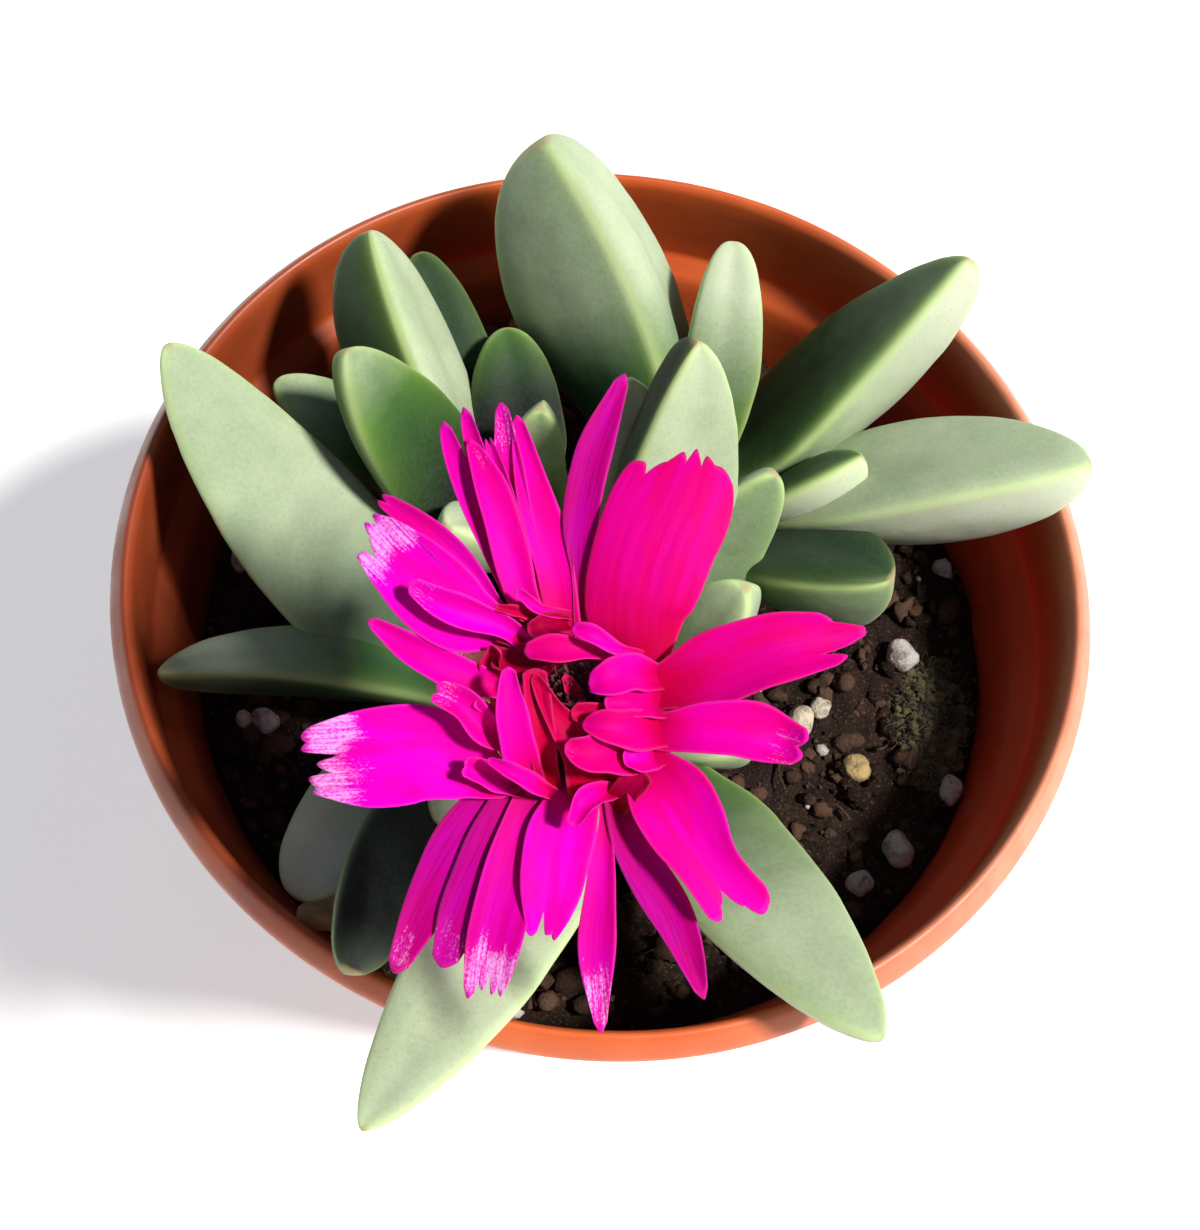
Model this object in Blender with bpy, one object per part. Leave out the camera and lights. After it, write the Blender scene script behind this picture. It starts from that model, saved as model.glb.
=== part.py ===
"""A potted lobster claw: a clump of keeled succulent leaves with one magenta flower, in a round plastic pot.

Lengths are in millimetres here and become metres when a mesh is made. The origin is the middle of the
pot's underside, +Z is up, and -Y is the side that the flower leans to.
"""

import math
import random

import bmesh
import bpy
from mathutils import Matrix, Vector

MM = 0.001
CLEAR = 0.32  # gap between pieces that touch
CORNER_GROWTH = 1.3  # how far a leaf's corners move out where its faces are to move out by 1

# Pot
POT_HEIGHT = 90.0
RIM_RADIUS = 52.5  # outside of the rolled lip
LIP = 2.5  # width of the rolled lip
LIP_OVERHANG = 1.6  # how far the lip stands out from the collar under it
COLLAR_DEPTH = 13.8  # from the lip down to the shoulder
COLLAR_TAPER = 1.4
WALL = 1.3
SHOULDER_RADIUS = 48.3  # outside of the wall, just under the shoulder
FOOT_RADIUS = 33.5
FOOT_WIDTH = 4.5
RECESS = 1.4  # how far the underside is raised between its boss and its foot ring
BOSS_RADIUS = 11.0
FLOOR_TOP = 2.7
POT_SIDES = 48
DRAIN_HOLES = 6
DRAIN_RADIUS = 3.5
DRAIN_CIRCLE = 22.0

# Soil
SOIL_TOP = 69.5
SOIL_RINGS = 8
SOIL_SIDES = 40
SOIL_GAP = CLEAR + 0.2  # between the soil and the pot's wall, whose facets come nearer than its corners
PEBBLES = 34
PEBBLE_RADII = (1.6, 3.4)
PEBBLE_RISE = 0.75  # height of a pebble above the soil, as a share of its radius

# Crown: a short woody stem that stands in the soil, with five low branches
ROOT_FOOT = 54.0
ROOT_RADIUS = 4.0
HUB = Vector((2.5, -3.0, 75.0))
HUB_RADIUS = 5.2
BRANCH_RADIUS = 3.0
KNOB_RADIUS = 4.0
KNOB_HEIGHT = 77.0
KNOBS = {
    "right": (9.5, 16.0),
    "middle": (7.5, -4.5),
    "left": (-12.5, 9.0),
    "front": (3.5, -13.5),
    "corner": (-8.5, -14.0),
}

# Flower. Petals and sepals are placed in its own plane: x to the right, y away from the side it leans to
FLOWER_CENTRE = Vector((-0.1, -30.7, 124.0))
FLOWER_LEAN = 12.0  # degrees from upright, towards -Y
FOOT_RING = 6.6  # radius of the ring that the outer petals stand on
CUP_RADIUS = 7.6
CUP_DEPTH = 7.5
DISC_TOP = 1.6
STALK_RADIUS = 1.9
STALK_SIDES = 10
STALK_FOOT = Vector((-1.0, -6.5, 78.0))
STALK_STRAIGHT = 20.0  # length over which the stalk turns into line with the flower
BLADE = 0.7  # thickness of a petal
STAMENS = 20

# Each petal: the angle at which it leaves its ring, where its tip is, how far the tip is above the ring, its
# width, its end's width as a share of that, how many teeth end it, and how far its edges stand above its
# middle. A small petal with a plain end has no teeth.
OUTER_PETALS = [
    # foot angle, tip x, tip y, rise, width, end, teeth, trough
    (57, 5.8, 21.8, 5.0, 10.4, 0.78, 4, 1.3),
    (98, -1.2, 29.3, 3.0, 3.9, 0.20, 1, 0.3),
    (112, -9.4, 24.8, 4.2, 3.4, 0.50, 2, 0.6),
    (118, -11.6, 23.6, 3.4, 3.4, 0.35, 1, 0.5),
    (128, -13.4, 23.4, 3.4, 3.2, 0.40, 1, 0.6),
    (134, -15.2, 22.4, 2.8, 3.2, 0.30, 1, 0.4),
    (143, -20.0, 14.8, 3.4, 4.4, 0.55, 3, 0.6),
    (150, -21.2, 12.4, 2.6, 4.0, 0.45, 2, 0.4),
    (158, -20.2, 9.4, 4.4, 4.4, 0.45, 2, 0.7),
    (176, -18.8, 3.7, 3.4, 3.6, 0.30, 1, 0.5),
    (202, -22.8, -5.4, 2.8, 5.2, 0.55, 2, 0.5),
    (214, -21.4, -7.8, 2.2, 4.4, 0.45, 1, 0.4),
    (226, -20.9, -10.2, 3.0, 4.8, 0.55, 2, 0.5),
    (242, -12.2, -23.7, 1.0, 4.2, 0.22, 1, 0.5),
    (252, -8.2, -22.8, 1.8, 3.8, 0.30, 1, 0.5),
    (260, -4.6, -24.4, 1.0, 4.8, 0.60, 3, 0.6),
    (270, -0.6, -18.8, 3.6, 6.4, 0.60, 3, 0.8),
    (288, 5.2, -25.8, 1.0, 3.4, 0.20, 1, 0.3),
    (299, 13.3, -22.1, 1.0, 3.9, 0.22, 1, 0.5),
    (316, 18.0, -15.4, 3.0, 5.2, 0.30, 1, 0.7),
    (322, 13.6, -14.9, 3.4, 5.6, 0.45, 2, 0.7),
    (356, 17.8, -1.6, 4.0, 4.9, 0.55, 2, 0.6),
    (26, 21.6, 8.8, 3.2, 5.9, 0.38, 2, 0.8),
]

# The inner petals stand round the stamens and lean over them.
INNER_PETALS = [
    # foot angle, tip x, tip y, rise, width, end, teeth, trough
    (248, -6.6, 1.0, 8.6, 3.0, 0.40, 1, 0.5),
    (261, -4.8, 0.8, 7.4, 2.1, 0.30, 0, 0.3),
    (268, -2.6, -1.2, 6.4, 2.2, 0.30, 0, 0.3),
    (276, -0.6, -2.6, 5.6, 2.0, 0.30, 0, 0.3),
    (290, 0.5, -9.8, 4.2, 3.4, 0.40, 1, 0.8),
    (264, -6.8, -6.0, 5.4, 2.4, 0.25, 0, 0.5),
    (236, -10.5, -5.6, 4.6, 2.4, 0.30, 0, 0.5),
    (214, -12.6, -1.2, 6.0, 3.2, 0.50, 2, 0.9),
    (150, -8.9, 2.3, 5.6, 2.4, 0.40, 0, 0.6),
    (106, -8.2, 6.8, 5.2, 2.2, 0.30, 0, 0.4),
    (80, -5.5, 2.7, 5.4, 2.8, 0.40, 1, 0.5),
    (64, -2.4, 5.8, 6.4, 2.2, 0.35, 0, 0.5),
    (120, -4.6, 5.0, 5.0, 2.8, 0.45, 0, 0.6),
    (34, 0.2, 1.5, 6.4, 3.6, 0.45, 1, 0.9),
    (14, 0.9, -0.9, 5.4, 3.2, 0.40, 0, 0.5),
    (356, -0.2, -2.6, 6.0, 3.0, 0.40, 0, 0.6),
    (322, -1.4, -4.0, 7.0, 3.2, 0.40, 1, 0.7),
    (308, 1.6, -6.4, 5.4, 3.0, 0.45, 0, 0.5),
    (344, 2.6, -4.2, 7.6, 3.4, 0.50, 2, 0.6),
]

# The sepals under the petals: angle, reach and width.
SEPALS = [(318, 13.0, 6.0), (30, 11.0, 5.0), (95, 12.0, 5.5), (165, 11.5, 5.0), (238, 12.0, 5.5)]

SEED = 7

# A shrivelled leaf that stands in the soil by the pot's wall
DRY_LEAF = {
    "foot": (-15.5, -32.0, 67.5),
    "tip": (-25.5, -40.0, 81.2),
    "width": 5.0,
    "depth": 3.4,
    "lift": -0.8,
    "sway": 0.6,
    "roll": 20,
    "point": 0.5,
}

# Each leaf grows from a knob of the crown to its tip. width and depth are its greatest; lift bows it up and
# sway bows it sideways, both at its middle; roll turns it about its own length, and point is 0.5 for a blunt
# end and 0.8 for a pointed one. Leaves early in the list keep their whole form where two press together.
LEAVES = [
    # name, knob, foot offset, tip, width, depth, lift, sway, roll, point
    ("leaf_back_broad", "right", (-1.5, 2.2), (-14.3, 41.5, 106.0), 17.5, 17.0, -2.5, -2.5, 55, 0.52),
    ("leaf_middle_upright", "middle", (-1.2, -1.0), (5.2, 11.9, 117.0), 17.0, 8.5, -2.5, 0.5, 38, 0.70),
    ("leaf_right_upper", "right", (0.5, 1.5), (33.0, 34.8, 106.0), 17.0, 10.0, -5.0, 1.5, -36, 0.80),
    ("leaf_right_small", "right", (3.0, 0.5), (25.4, 15.8, 94.0), 10.5, 6.0, 1.5, -2.0, -33, 0.57),
    ("leaf_right_long", "right", (2.4, -1.4), (48.8, 16.1, 99.0), 17.0, 11.5, 2.0, 0.5, -26, 0.60),
    ("leaf_left_long", "corner", (-1.1, 1.2), (-49.1, 12.5, 100.0), 16.5, 8.5, -2.5, 2.0, 0, 0.60),
    ("leaf_front_right", "front", (1.9, -1.1), (31.8, -47.6, 98.0), 14.2, 9.0, 4.5, -2.0, -6, 0.66),
    ("leaf_front_left", "front", (-1.9, -2.0), (-13.6, -63.2, 100.0), 13.5, 8.0, 5.5, 2.0, 3, 0.65),
    ("leaf_left_upper", "left", (-0.3, 1.3), (-30.9, 29.1, 102.0), 13.5, 10.5, 1.3, 1.5, 52, 0.58),
    ("leaf_left_middle", "left", (-0.5, -2.0), (-30.0, 12.7, 104.0), 13.0, 8.6, 0.8, 1.2, -4, 0.58),
    ("leaf_corner_front", "corner", (0.8, -1.9), (-17.7, -48.9, 97.0), 11.0, 8.6, 3.0, -1.6, -19, 0.42),
    ("leaf_corner_side", "corner", (-1.6, -1.0), (-25.4, -39.9, 86.0), 12.5, 7.7, 2.2, -1.6, 2, 0.45),
    ("leaf_corner_low", "corner", (-2.0, 0.2), (-44.5, -18.7, 86.0), 7.5, 8.0, 1.8, -3.0, 16, 0.68),
    ("leaf_right_low", "right", (2.5, -3.5), (30.0, 3.0, 92.0), 13.0, 11.0, 1.0, -1.5, -14, 0.42),
    ("leaf_middle_back", "middle", (-3.0, 1.0), (-0.5, 12.0, 108.0), 10.0, 7.0, -1.0, 0.0, 0, 0.50),
    ("leaf_middle_right", "middle", (1.8, 0.1), (16.0, 10.2, 97.0), 9.0, 7.5, -1.0, 1.8, 30, 0.42),
    ("leaf_middle_short", "middle", (1.5, -2.0), (14.5, -1.5, 93.0), 8.5, 7.0, 0.0, 0.0, 0, 0.45),
    ("leaf_back_small", "right", (0.4, 3.5), (8.1, 38.1, 98.0), 8.5, 8.0, 3.0, 0.0, 0, 0.46),
    ("leaf_left_back", "left", (-1.5, 2.5), (-27.0, 35.6, 90.0), 9.0, 7.0, 0.0, -0.5, 0, 0.45),
    ("leaf_left_low", "left", (-1.5, 0.0), (-39.5, 16.5, 89.0), 10.0, 7.5, 0.0, 0.0, 0, 0.52),
    ("leaf_back_low", "left", (2.5, 2.0), (-15.5, 27.5, 90.0), 11.0, 8.5, 0.0, 0.0, 0, 0.48),
    ("leaf_left_inner", "left", (3.0, 0.0), (-9.5, 13.0, 98.0), 7.5, 6.0, 0.0, 0.0, 0, 0.50),
    ("leaf_left_front", "left", (1.5, -2.5), (-17.0, -1.5, 96.0), 8.5, 7.0, 0.0, 0.0, 0, 0.50),
    ("leaf_front_small", "front", (2.5, 1.0), (17.0, -17.0, 88.0), 8.0, 6.5, 0.0, 0.0, 0, 0.42),
    ("leaf_corner_low_front", "corner", (1.5, -2.5), (-12.2, -32.2, 92.0), 9.5, 7.5, 1.0, 0.0, 0, 0.50),
]


def material(name, colour, roughness):
    """A plain Principled material."""
    made = bpy.data.materials.new(name)
    made.use_nodes = True
    shader = made.node_tree.nodes["Principled BSDF"]
    shader.inputs["Base Color"].default_value = (*colour, 1.0)
    shader.inputs["Roughness"].default_value = roughness
    return made


def clear_scene():
    for obj in list(bpy.data.objects):
        bpy.data.objects.remove(obj)


def finish_mesh(obj, bm):
    """Writes bm, in millimetres, to obj's mesh in metres, with its faces pointing out."""
    bmesh.ops.recalc_face_normals(bm, faces=bm.faces)
    bmesh.ops.scale(bm, vec=(MM, MM, MM), verts=bm.verts)
    bm.to_mesh(obj.data)
    bm.free()


def new_object(name, bm, finish=None):
    obj = bpy.data.objects.new(name, bpy.data.meshes.new(name))
    bpy.context.scene.collection.objects.link(obj)
    finish_mesh(obj, bm)
    if finish:
        obj.data.materials.append(finish)
    return obj


def smooth(obj, angle=40.0):
    obj.data.shade_smooth()
    obj.data.set_sharp_from_angle(angle=math.radians(angle))


def turned(profile, sides):
    """A closed solid turned about Z from (radius, height) points that start and end on the axis."""
    bm = bmesh.new()
    rings = []
    for radius, height in profile:
        if radius == 0:
            rings.append([bm.verts.new((0, 0, height))])
            continue
        turn = 2 * math.pi / sides
        rings.append([
            bm.verts.new((radius * math.cos(i * turn), radius * math.sin(i * turn), height))
            for i in range(sides)
        ])
    join_rings(bm, rings)
    return bm


def join_rings(bm, rings):
    """Faces between each ring and the next. A ring of one point is a pole."""
    for low, high in zip(rings, rings[1:]):
        count = max(len(low), len(high))
        for i in range(count):
            after = i + 1
            corners = [low[i % len(low)], low[after % len(low)], high[after % len(high)], high[i % len(high)]]
            bm.faces.new(list(dict.fromkeys(corners)))


def apply_modifiers(obj):
    """Puts obj's evaluated mesh in the place of its own, with no modifiers left."""
    graph = bpy.context.evaluated_depsgraph_get()
    mesh = bpy.data.meshes.new_from_object(obj.evaluated_get(graph))
    obj.modifiers.clear()
    obj.data = mesh


def add_boolean(obj, operation, other, solver="EXACT"):
    """other is an object, or a collection of them."""
    cut = obj.modifiers.new(operation.lower(), "BOOLEAN")
    cut.operation = operation
    cut.solver = solver
    if isinstance(other, bpy.types.Collection):
        cut.operand_type = "COLLECTION"
        cut.collection = other
    else:
        cut.object = other
    return cut


def unite(body, pieces, solver="MANIFOLD"):
    """Joins the pieces to body as one solid and removes them."""
    group = bpy.data.collections.new(body.name + "_pieces")
    bpy.context.scene.collection.children.link(group)
    for piece in pieces:
        bpy.context.scene.collection.objects.unlink(piece)
        group.objects.link(piece)
    add_boolean(body, "UNION", group, solver)
    apply_modifiers(body)
    for piece in pieces:
        bpy.data.objects.remove(piece)
    bpy.data.collections.remove(group)
    keep_largest(body)


def cut_back(obj, cutters):
    """Takes the cutters' forms out of obj and keeps what is left in one piece."""
    near = [cutter for cutter in cutters if boxes_meet(obj, cutter)]
    if not near:
        return
    group = bpy.data.collections.new(obj.name + "_cutters")
    bpy.context.scene.collection.children.link(group)
    for cutter in near:
        group.objects.link(cutter)
    add_boolean(obj, "DIFFERENCE", group, "MANIFOLD")
    apply_modifiers(obj)
    bpy.data.collections.remove(group)
    keep_largest(obj)


def keep_largest(obj):
    """Keeps only the largest closed skin: drops the scraps that a cut leaves, and fills sealed hollows."""
    bm = bmesh.new()
    bm.from_mesh(obj.data)
    left, islands = set(bm.verts), []
    while left:
        island, edge = set(), [left.pop()]
        while edge:
            vert = edge.pop()
            island.add(vert)
            for link in vert.link_edges:
                other = link.other_vert(vert)
                if other in left:
                    left.remove(other)
                    edge.append(other)
        islands.append(island)
    largest = max(islands, key=len)
    bmesh.ops.delete(bm, geom=[v for v in bm.verts if v not in largest], context="VERTS")
    bm.to_mesh(obj.data)
    bm.free()


def boxes_meet(a, b):
    """Whether the two objects' boxes overlap. Both have their place in their mesh."""
    corners = [[Vector(c) for c in o.bound_box] for o in (a, b)]
    low = [[min(c[i] for c in box) for i in range(3)] for box in corners]
    high = [[max(c[i] for c in box) for i in range(3)] for box in corners]
    return all(low[0][i] < high[1][i] and low[1][i] < high[0][i] for i in range(3))


# The pot


def inner_wall(height):
    """Radius of the inside of the pot's tapered wall, below the shoulder."""
    share = height / (POT_HEIGHT - COLLAR_DEPTH)
    return FOOT_RADIUS + (SHOULDER_RADIUS - FOOT_RADIUS) * share - WALL


def pot_profile():
    """The pot's section, from the middle of its underside round its outside and lip to its floor's middle."""
    shoulder = POT_HEIGHT - COLLAR_DEPTH
    lip_inside = RIM_RADIUS - LIP
    collar_outside = RIM_RADIUS - LIP_OVERHANG
    return [
        (0, 0),
        (BOSS_RADIUS, 0),
        (BOSS_RADIUS + 1, RECESS),
        (FOOT_RADIUS - FOOT_WIDTH - 1, RECESS),
        (FOOT_RADIUS - FOOT_WIDTH, 0),
        (FOOT_RADIUS - 0.6, 0),
        (FOOT_RADIUS, 0.8),
        (SHOULDER_RADIUS, shoulder - 1.0),
        (collar_outside - COLLAR_TAPER, shoulder + 0.4),
        (collar_outside, POT_HEIGHT - 4.0),
        (RIM_RADIUS, POT_HEIGHT - 3.0),
        (RIM_RADIUS - 0.3, POT_HEIGHT - 1.9),
        (lip_inside + 1.1, POT_HEIGHT - 0.2),
        (lip_inside + 0.7, POT_HEIGHT),
        (lip_inside + 0.2, POT_HEIGHT - 0.3),
        (lip_inside, POT_HEIGHT - 1.4),
        (lip_inside - 0.6, shoulder + 1.6),
        (inner_wall(shoulder), shoulder - 0.6),
        (inner_wall(FLOOR_TOP) - 0.4, FLOOR_TOP),
        (0, FLOOR_TOP),
    ]


def make_pot(finish):
    pot = new_object("pot", turned(pot_profile(), POT_SIDES), finish)
    holes = bpy.data.collections.new("drain_holes")
    bpy.context.scene.collection.children.link(holes)
    for i in range(DRAIN_HOLES):
        turn = 2 * math.pi * i / DRAIN_HOLES
        bm = bmesh.new()
        bmesh.ops.create_cone(
            bm, cap_ends=True, segments=14, radius1=DRAIN_RADIUS, radius2=DRAIN_RADIUS, depth=4 * FLOOR_TOP
        )
        centre = (DRAIN_CIRCLE * math.cos(turn), DRAIN_CIRCLE * math.sin(turn), 0)
        bmesh.ops.translate(bm, vec=centre, verts=bm.verts)
        hole = new_object(f"drain_hole_{i}", bm)
        bpy.context.scene.collection.objects.unlink(hole)
        holes.objects.link(hole)
    add_boolean(pot, "DIFFERENCE", holes)
    apply_modifiers(pot)
    for hole in list(holes.objects):
        bpy.data.objects.remove(hole)
    bpy.data.collections.remove(holes)
    smooth(pot)
    return pot


# The soil


def soil_height(x, y, pebbles):
    """The uneven top of the soil: low waves with round pebbles raised from it."""
    waves = 0.5 * math.sin(0.21 * x + 1.0) * math.cos(0.17 * y) + 0.35 * math.sin(0.47 * x - 0.39 * y)
    top = SOIL_TOP + waves
    for px, py, radius in pebbles:
        away = math.hypot(x - px, y - py) / radius
        if away < 1:
            top = max(top, SOIL_TOP + waves + PEBBLE_RISE * radius * math.sqrt(1 - away**2))
    return top


def make_soil(finish):
    draw = random.Random(SEED)
    edge = inner_wall(SOIL_TOP) - SOIL_GAP
    pebbles = []
    for _ in range(PEBBLES):
        angle, reach = draw.uniform(0, 2 * math.pi), edge * math.sqrt(draw.uniform(0.16, 0.85))
        pebbles.append((reach * math.cos(angle), reach * math.sin(angle), draw.uniform(*PEBBLE_RADII)))
    bm = bmesh.new()
    low = FLOOR_TOP + CLEAR
    turn = 2 * math.pi / SOIL_SIDES
    around = [(math.cos(i * turn), math.sin(i * turn)) for i in range(SOIL_SIDES)]
    rings = [[bm.verts.new((0, 0, low))]]
    base = inner_wall(low) - CLEAR - 1.4
    rings.append([bm.verts.new((base * c, base * s, low)) for c, s in around])
    side = inner_wall(low + 1.4) - SOIL_GAP
    rings.append([bm.verts.new((side * c, side * s, low + 1.4)) for c, s in around])
    for ring in range(SOIL_RINGS, 0, -1):
        reach = edge * (ring / SOIL_RINGS) ** 0.8
        flat = ring == SOIL_RINGS
        rings.append([
            bm.verts.new((
                reach * c,
                reach * s,
                SOIL_TOP - 0.9 if flat else soil_height(reach * c, reach * s, pebbles),
            ))
            for c, s in around
        ])
    rings.append([bm.verts.new((0, 0, SOIL_TOP))])
    join_rings(bm, rings)
    soil = new_object("soil", bm, finish)
    bm = bmesh.new()
    radius = ROOT_RADIUS + CLEAR
    bmesh.ops.create_cone(bm, cap_ends=True, segments=16, radius1=radius, radius2=radius, depth=40)
    bmesh.ops.translate(bm, vec=(HUB.x, HUB.y, ROOT_FOOT - CLEAR + 20), verts=bm.verts)
    hole = new_object("root_hole", bm)
    dry = new_object("dry_leaf_hole", dry_leaf_mesh(CLEAR))
    cut_back(soil, [hole, dry])
    bpy.data.objects.remove(hole)
    bpy.data.objects.remove(dry)
    smooth(soil, 30)
    return soil


# The crown


def rod(name, start, end, radius1, radius2, sides=8):
    """A straight tapered rod between two points."""
    bm = bmesh.new()
    along = end - start
    bmesh.ops.create_cone(
        bm, cap_ends=True, segments=sides, radius1=radius1, radius2=radius2, depth=along.length
    )
    turn = along.to_track_quat("Z", "Y").to_matrix().to_4x4()
    bmesh.ops.transform(bm, matrix=Matrix.Translation((start + end) / 2) @ turn, verts=bm.verts)
    return new_object(name, bm)


def ball(name, centre, radius, squash=1.0):
    bm = bmesh.new()
    bmesh.ops.create_uvsphere(bm, u_segments=8, v_segments=6, radius=radius)
    bmesh.ops.scale(bm, vec=(1, 1, squash), verts=bm.verts)
    bmesh.ops.translate(bm, vec=centre, verts=bm.verts)
    return new_object(name, bm)


def knob_centre(name):
    return Vector((*KNOBS[name], KNOB_HEIGHT))


def make_crown(name, finish, grow=0.0):
    """The woody crown. With grow it is thicker all over, to cut the seats that its leaves stand in."""
    crown = ball(name, HUB, HUB_RADIUS + grow, 0.8)
    crown.data.materials.append(finish)
    pieces = [
        rod(name + "_root", Vector((HUB.x, HUB.y, ROOT_FOOT)), HUB, ROOT_RADIUS - 1.2, ROOT_RADIUS, 12),
    ]
    for side in KNOBS:
        centre = knob_centre(side)
        pieces.append(rod(f"{name}_{side}", HUB, centre, BRANCH_RADIUS + grow, BRANCH_RADIUS - 0.4 + grow))
        pieces.append(ball(f"{name}_{side}_knob", centre, KNOB_RADIUS + grow))
    unite(crown, pieces)
    smooth(crown, 50)
    return crown


# The leaves

# A leaf's section, across in half-widths and up in depths: a nearly flat upper face between two margins,
# and two flanks that meet in a keel below.
SECTION = [
    (1.0, 0.18),
    (0.5, 0.32),
    (-0.5, 0.32),
    (-1.0, 0.18),
    (-0.84, -0.16),
    (-0.32, -0.60),
    (0.0, -0.74),
    (0.32, -0.60),
    (0.84, -0.16),
]
STATIONS = [0.0, 0.14, 0.3, 0.48, 0.66, 0.8, 0.91, 0.97]
FOOT_SHARE = 0.52  # width at the foot, as a share of the greatest
WIDEST = 0.42  # how far along a leaf is widest
DEEPEST = 0.60  # how far along its keel is deepest


def swell(t, peak, foot, point):
    """1 at peak, foot at 0, and closing to nothing at 1."""
    if t < peak:
        rise = t / peak
        return foot + (1 - foot) * rise * rise * (3 - 2 * rise)
    return max(0.0, 1 - ((t - peak) / (1 - peak)) ** 2) ** point


def leaf_frame(foot, bend, tip, roll, t):
    """Point, width direction and upper face's direction at share t along a leaf's curve."""
    point = foot * (1 - t) ** 2 + bend * 2 * t * (1 - t) + tip * t * t
    along = ((bend - foot) * (1 - t) + (tip - bend) * t).normalized()
    flat = Vector((tip.x - foot.x, tip.y - foot.y, 0)).normalized()
    side = Vector((-flat.y, flat.x, 0))
    side = (side - along * side.dot(along)).normalized()
    upper = along.cross(side)
    turn = math.radians(roll)
    across = side * math.cos(turn) + upper * math.sin(turn)
    return point, across, along.cross(across)


def leaf_mesh(foot, tip, width, depth, lift, sway, roll, point, grow=0.0):
    chord = tip - foot
    side = Vector((-chord.y, chord.x, 0)).normalized()
    bend = (foot + tip) / 2 + Vector((0, 0, 2 * lift)) + side * 2 * sway
    bm = bmesh.new()
    rings = []
    for t in STATIONS:
        centre, across, upper = leaf_frame(foot, bend, tip, roll, t)
        half = width / 2 * swell(t, WIDEST, FOOT_SHARE, point)
        deep = depth * swell(t, DEEPEST, 0.5, 0.5)
        ring = []
        for a, b in SECTION:
            out = across * half * a + upper * deep * b
            ring.append(bm.verts.new(centre + out + out.normalized() * CORNER_GROWTH * grow))
        rings.append(ring)
    centre, _, _ = leaf_frame(foot, bend, tip, roll, 1.0)
    rings.append([bm.verts.new(centre + (tip - bend).normalized() * CORNER_GROWTH * grow)])
    join_rings(bm, rings)
    bm.faces.new(rings[0])
    return bm


def leaf_shapes():
    """Each leaf's name and shape."""
    for name, knob, offset, tip, *shape in LEAVES:
        yield name, (knob_centre(knob) + Vector((*offset, 0)), Vector(tip), *shape)


def dry_leaf_mesh(grow=0.0):
    foot, tip, *shape = DRY_LEAF.values()
    return leaf_mesh(Vector(foot), Vector(tip), *shape, grow)


def make_leaves(finish, cutters):
    """All leaves, each cut back where it presses on the cutters or on a leaf earlier in the list."""
    cutters = list(cutters)
    own = []
    for name, shape in leaf_shapes():
        leaf = new_object(name, leaf_mesh(*shape), finish)
        cut_back(leaf, cutters)
        smooth(leaf, 35)
        own.append(new_object(name + "_cutter", leaf_mesh(*shape, grow=CLEAR)))
        cutters.append(own[-1])
    for cutter in own:
        bpy.data.objects.remove(cutter)


# The flower


def flower_axes():
    lean = math.radians(FLOWER_LEAN)
    axis = Vector((0, -math.sin(lean), math.cos(lean)))
    return Vector((1, 0, 0)), axis.cross(Vector((1, 0, 0))), axis


def in_flower(x, y, rise):
    """A point of the flower's own plane, raised above it."""
    across, ahead, axis = flower_axes()
    return FLOWER_CENTRE + across * x + ahead * y + axis * rise


def turned_flower(name, profile, sides):
    """A solid turned about the flower's axis."""
    bm = turned(profile, sides)
    across, ahead, axis = flower_axes()
    turn = Matrix((across, ahead, axis)).transposed().to_4x4()
    bmesh.ops.transform(bm, matrix=Matrix.Translation(FLOWER_CENTRE) @ turn, verts=bm.verts)
    return new_object(name, bm)


# The lines of points across a petal, as shares of its length
PETAL_ROWS = (0.0, 0.3, 0.58, 0.84, 1.0)
SMALL_PETAL_ROWS = (0.0, 0.42, 0.8, 1.0)
WIDEST_PETAL = 0.6  # how far along a petal is widest


def petal_width(t, end):
    """A petal's width at share t of its length: narrow at the foot, full at WIDEST_PETAL and end at its end."""
    if t <= WIDEST_PETAL:
        return 0.42 + 0.58 * math.sin(t / WIDEST_PETAL * math.pi / 2)
    return 1 - (1 - end) * ((t - WIDEST_PETAL) / (1 - WIDEST_PETAL)) ** 2


def notches(teeth, draw):
    """For each line of points along a petal, the share of its length that it stops short by."""
    if teeth == 0:
        return [0.07, 0.0, 0.07]
    if teeth == 1:
        return [0.07, 0.02, 0.0, 0.02, 0.07]
    shares = []
    for i in range(2 * teeth + 1):
        away = abs(i - teeth) / teeth
        notch = draw.uniform(0.05, 0.09) if i % 2 == 0 else draw.uniform(0.0, 0.025)
        shares.append(notch + 0.06 * away * away)
    return shares


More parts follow.
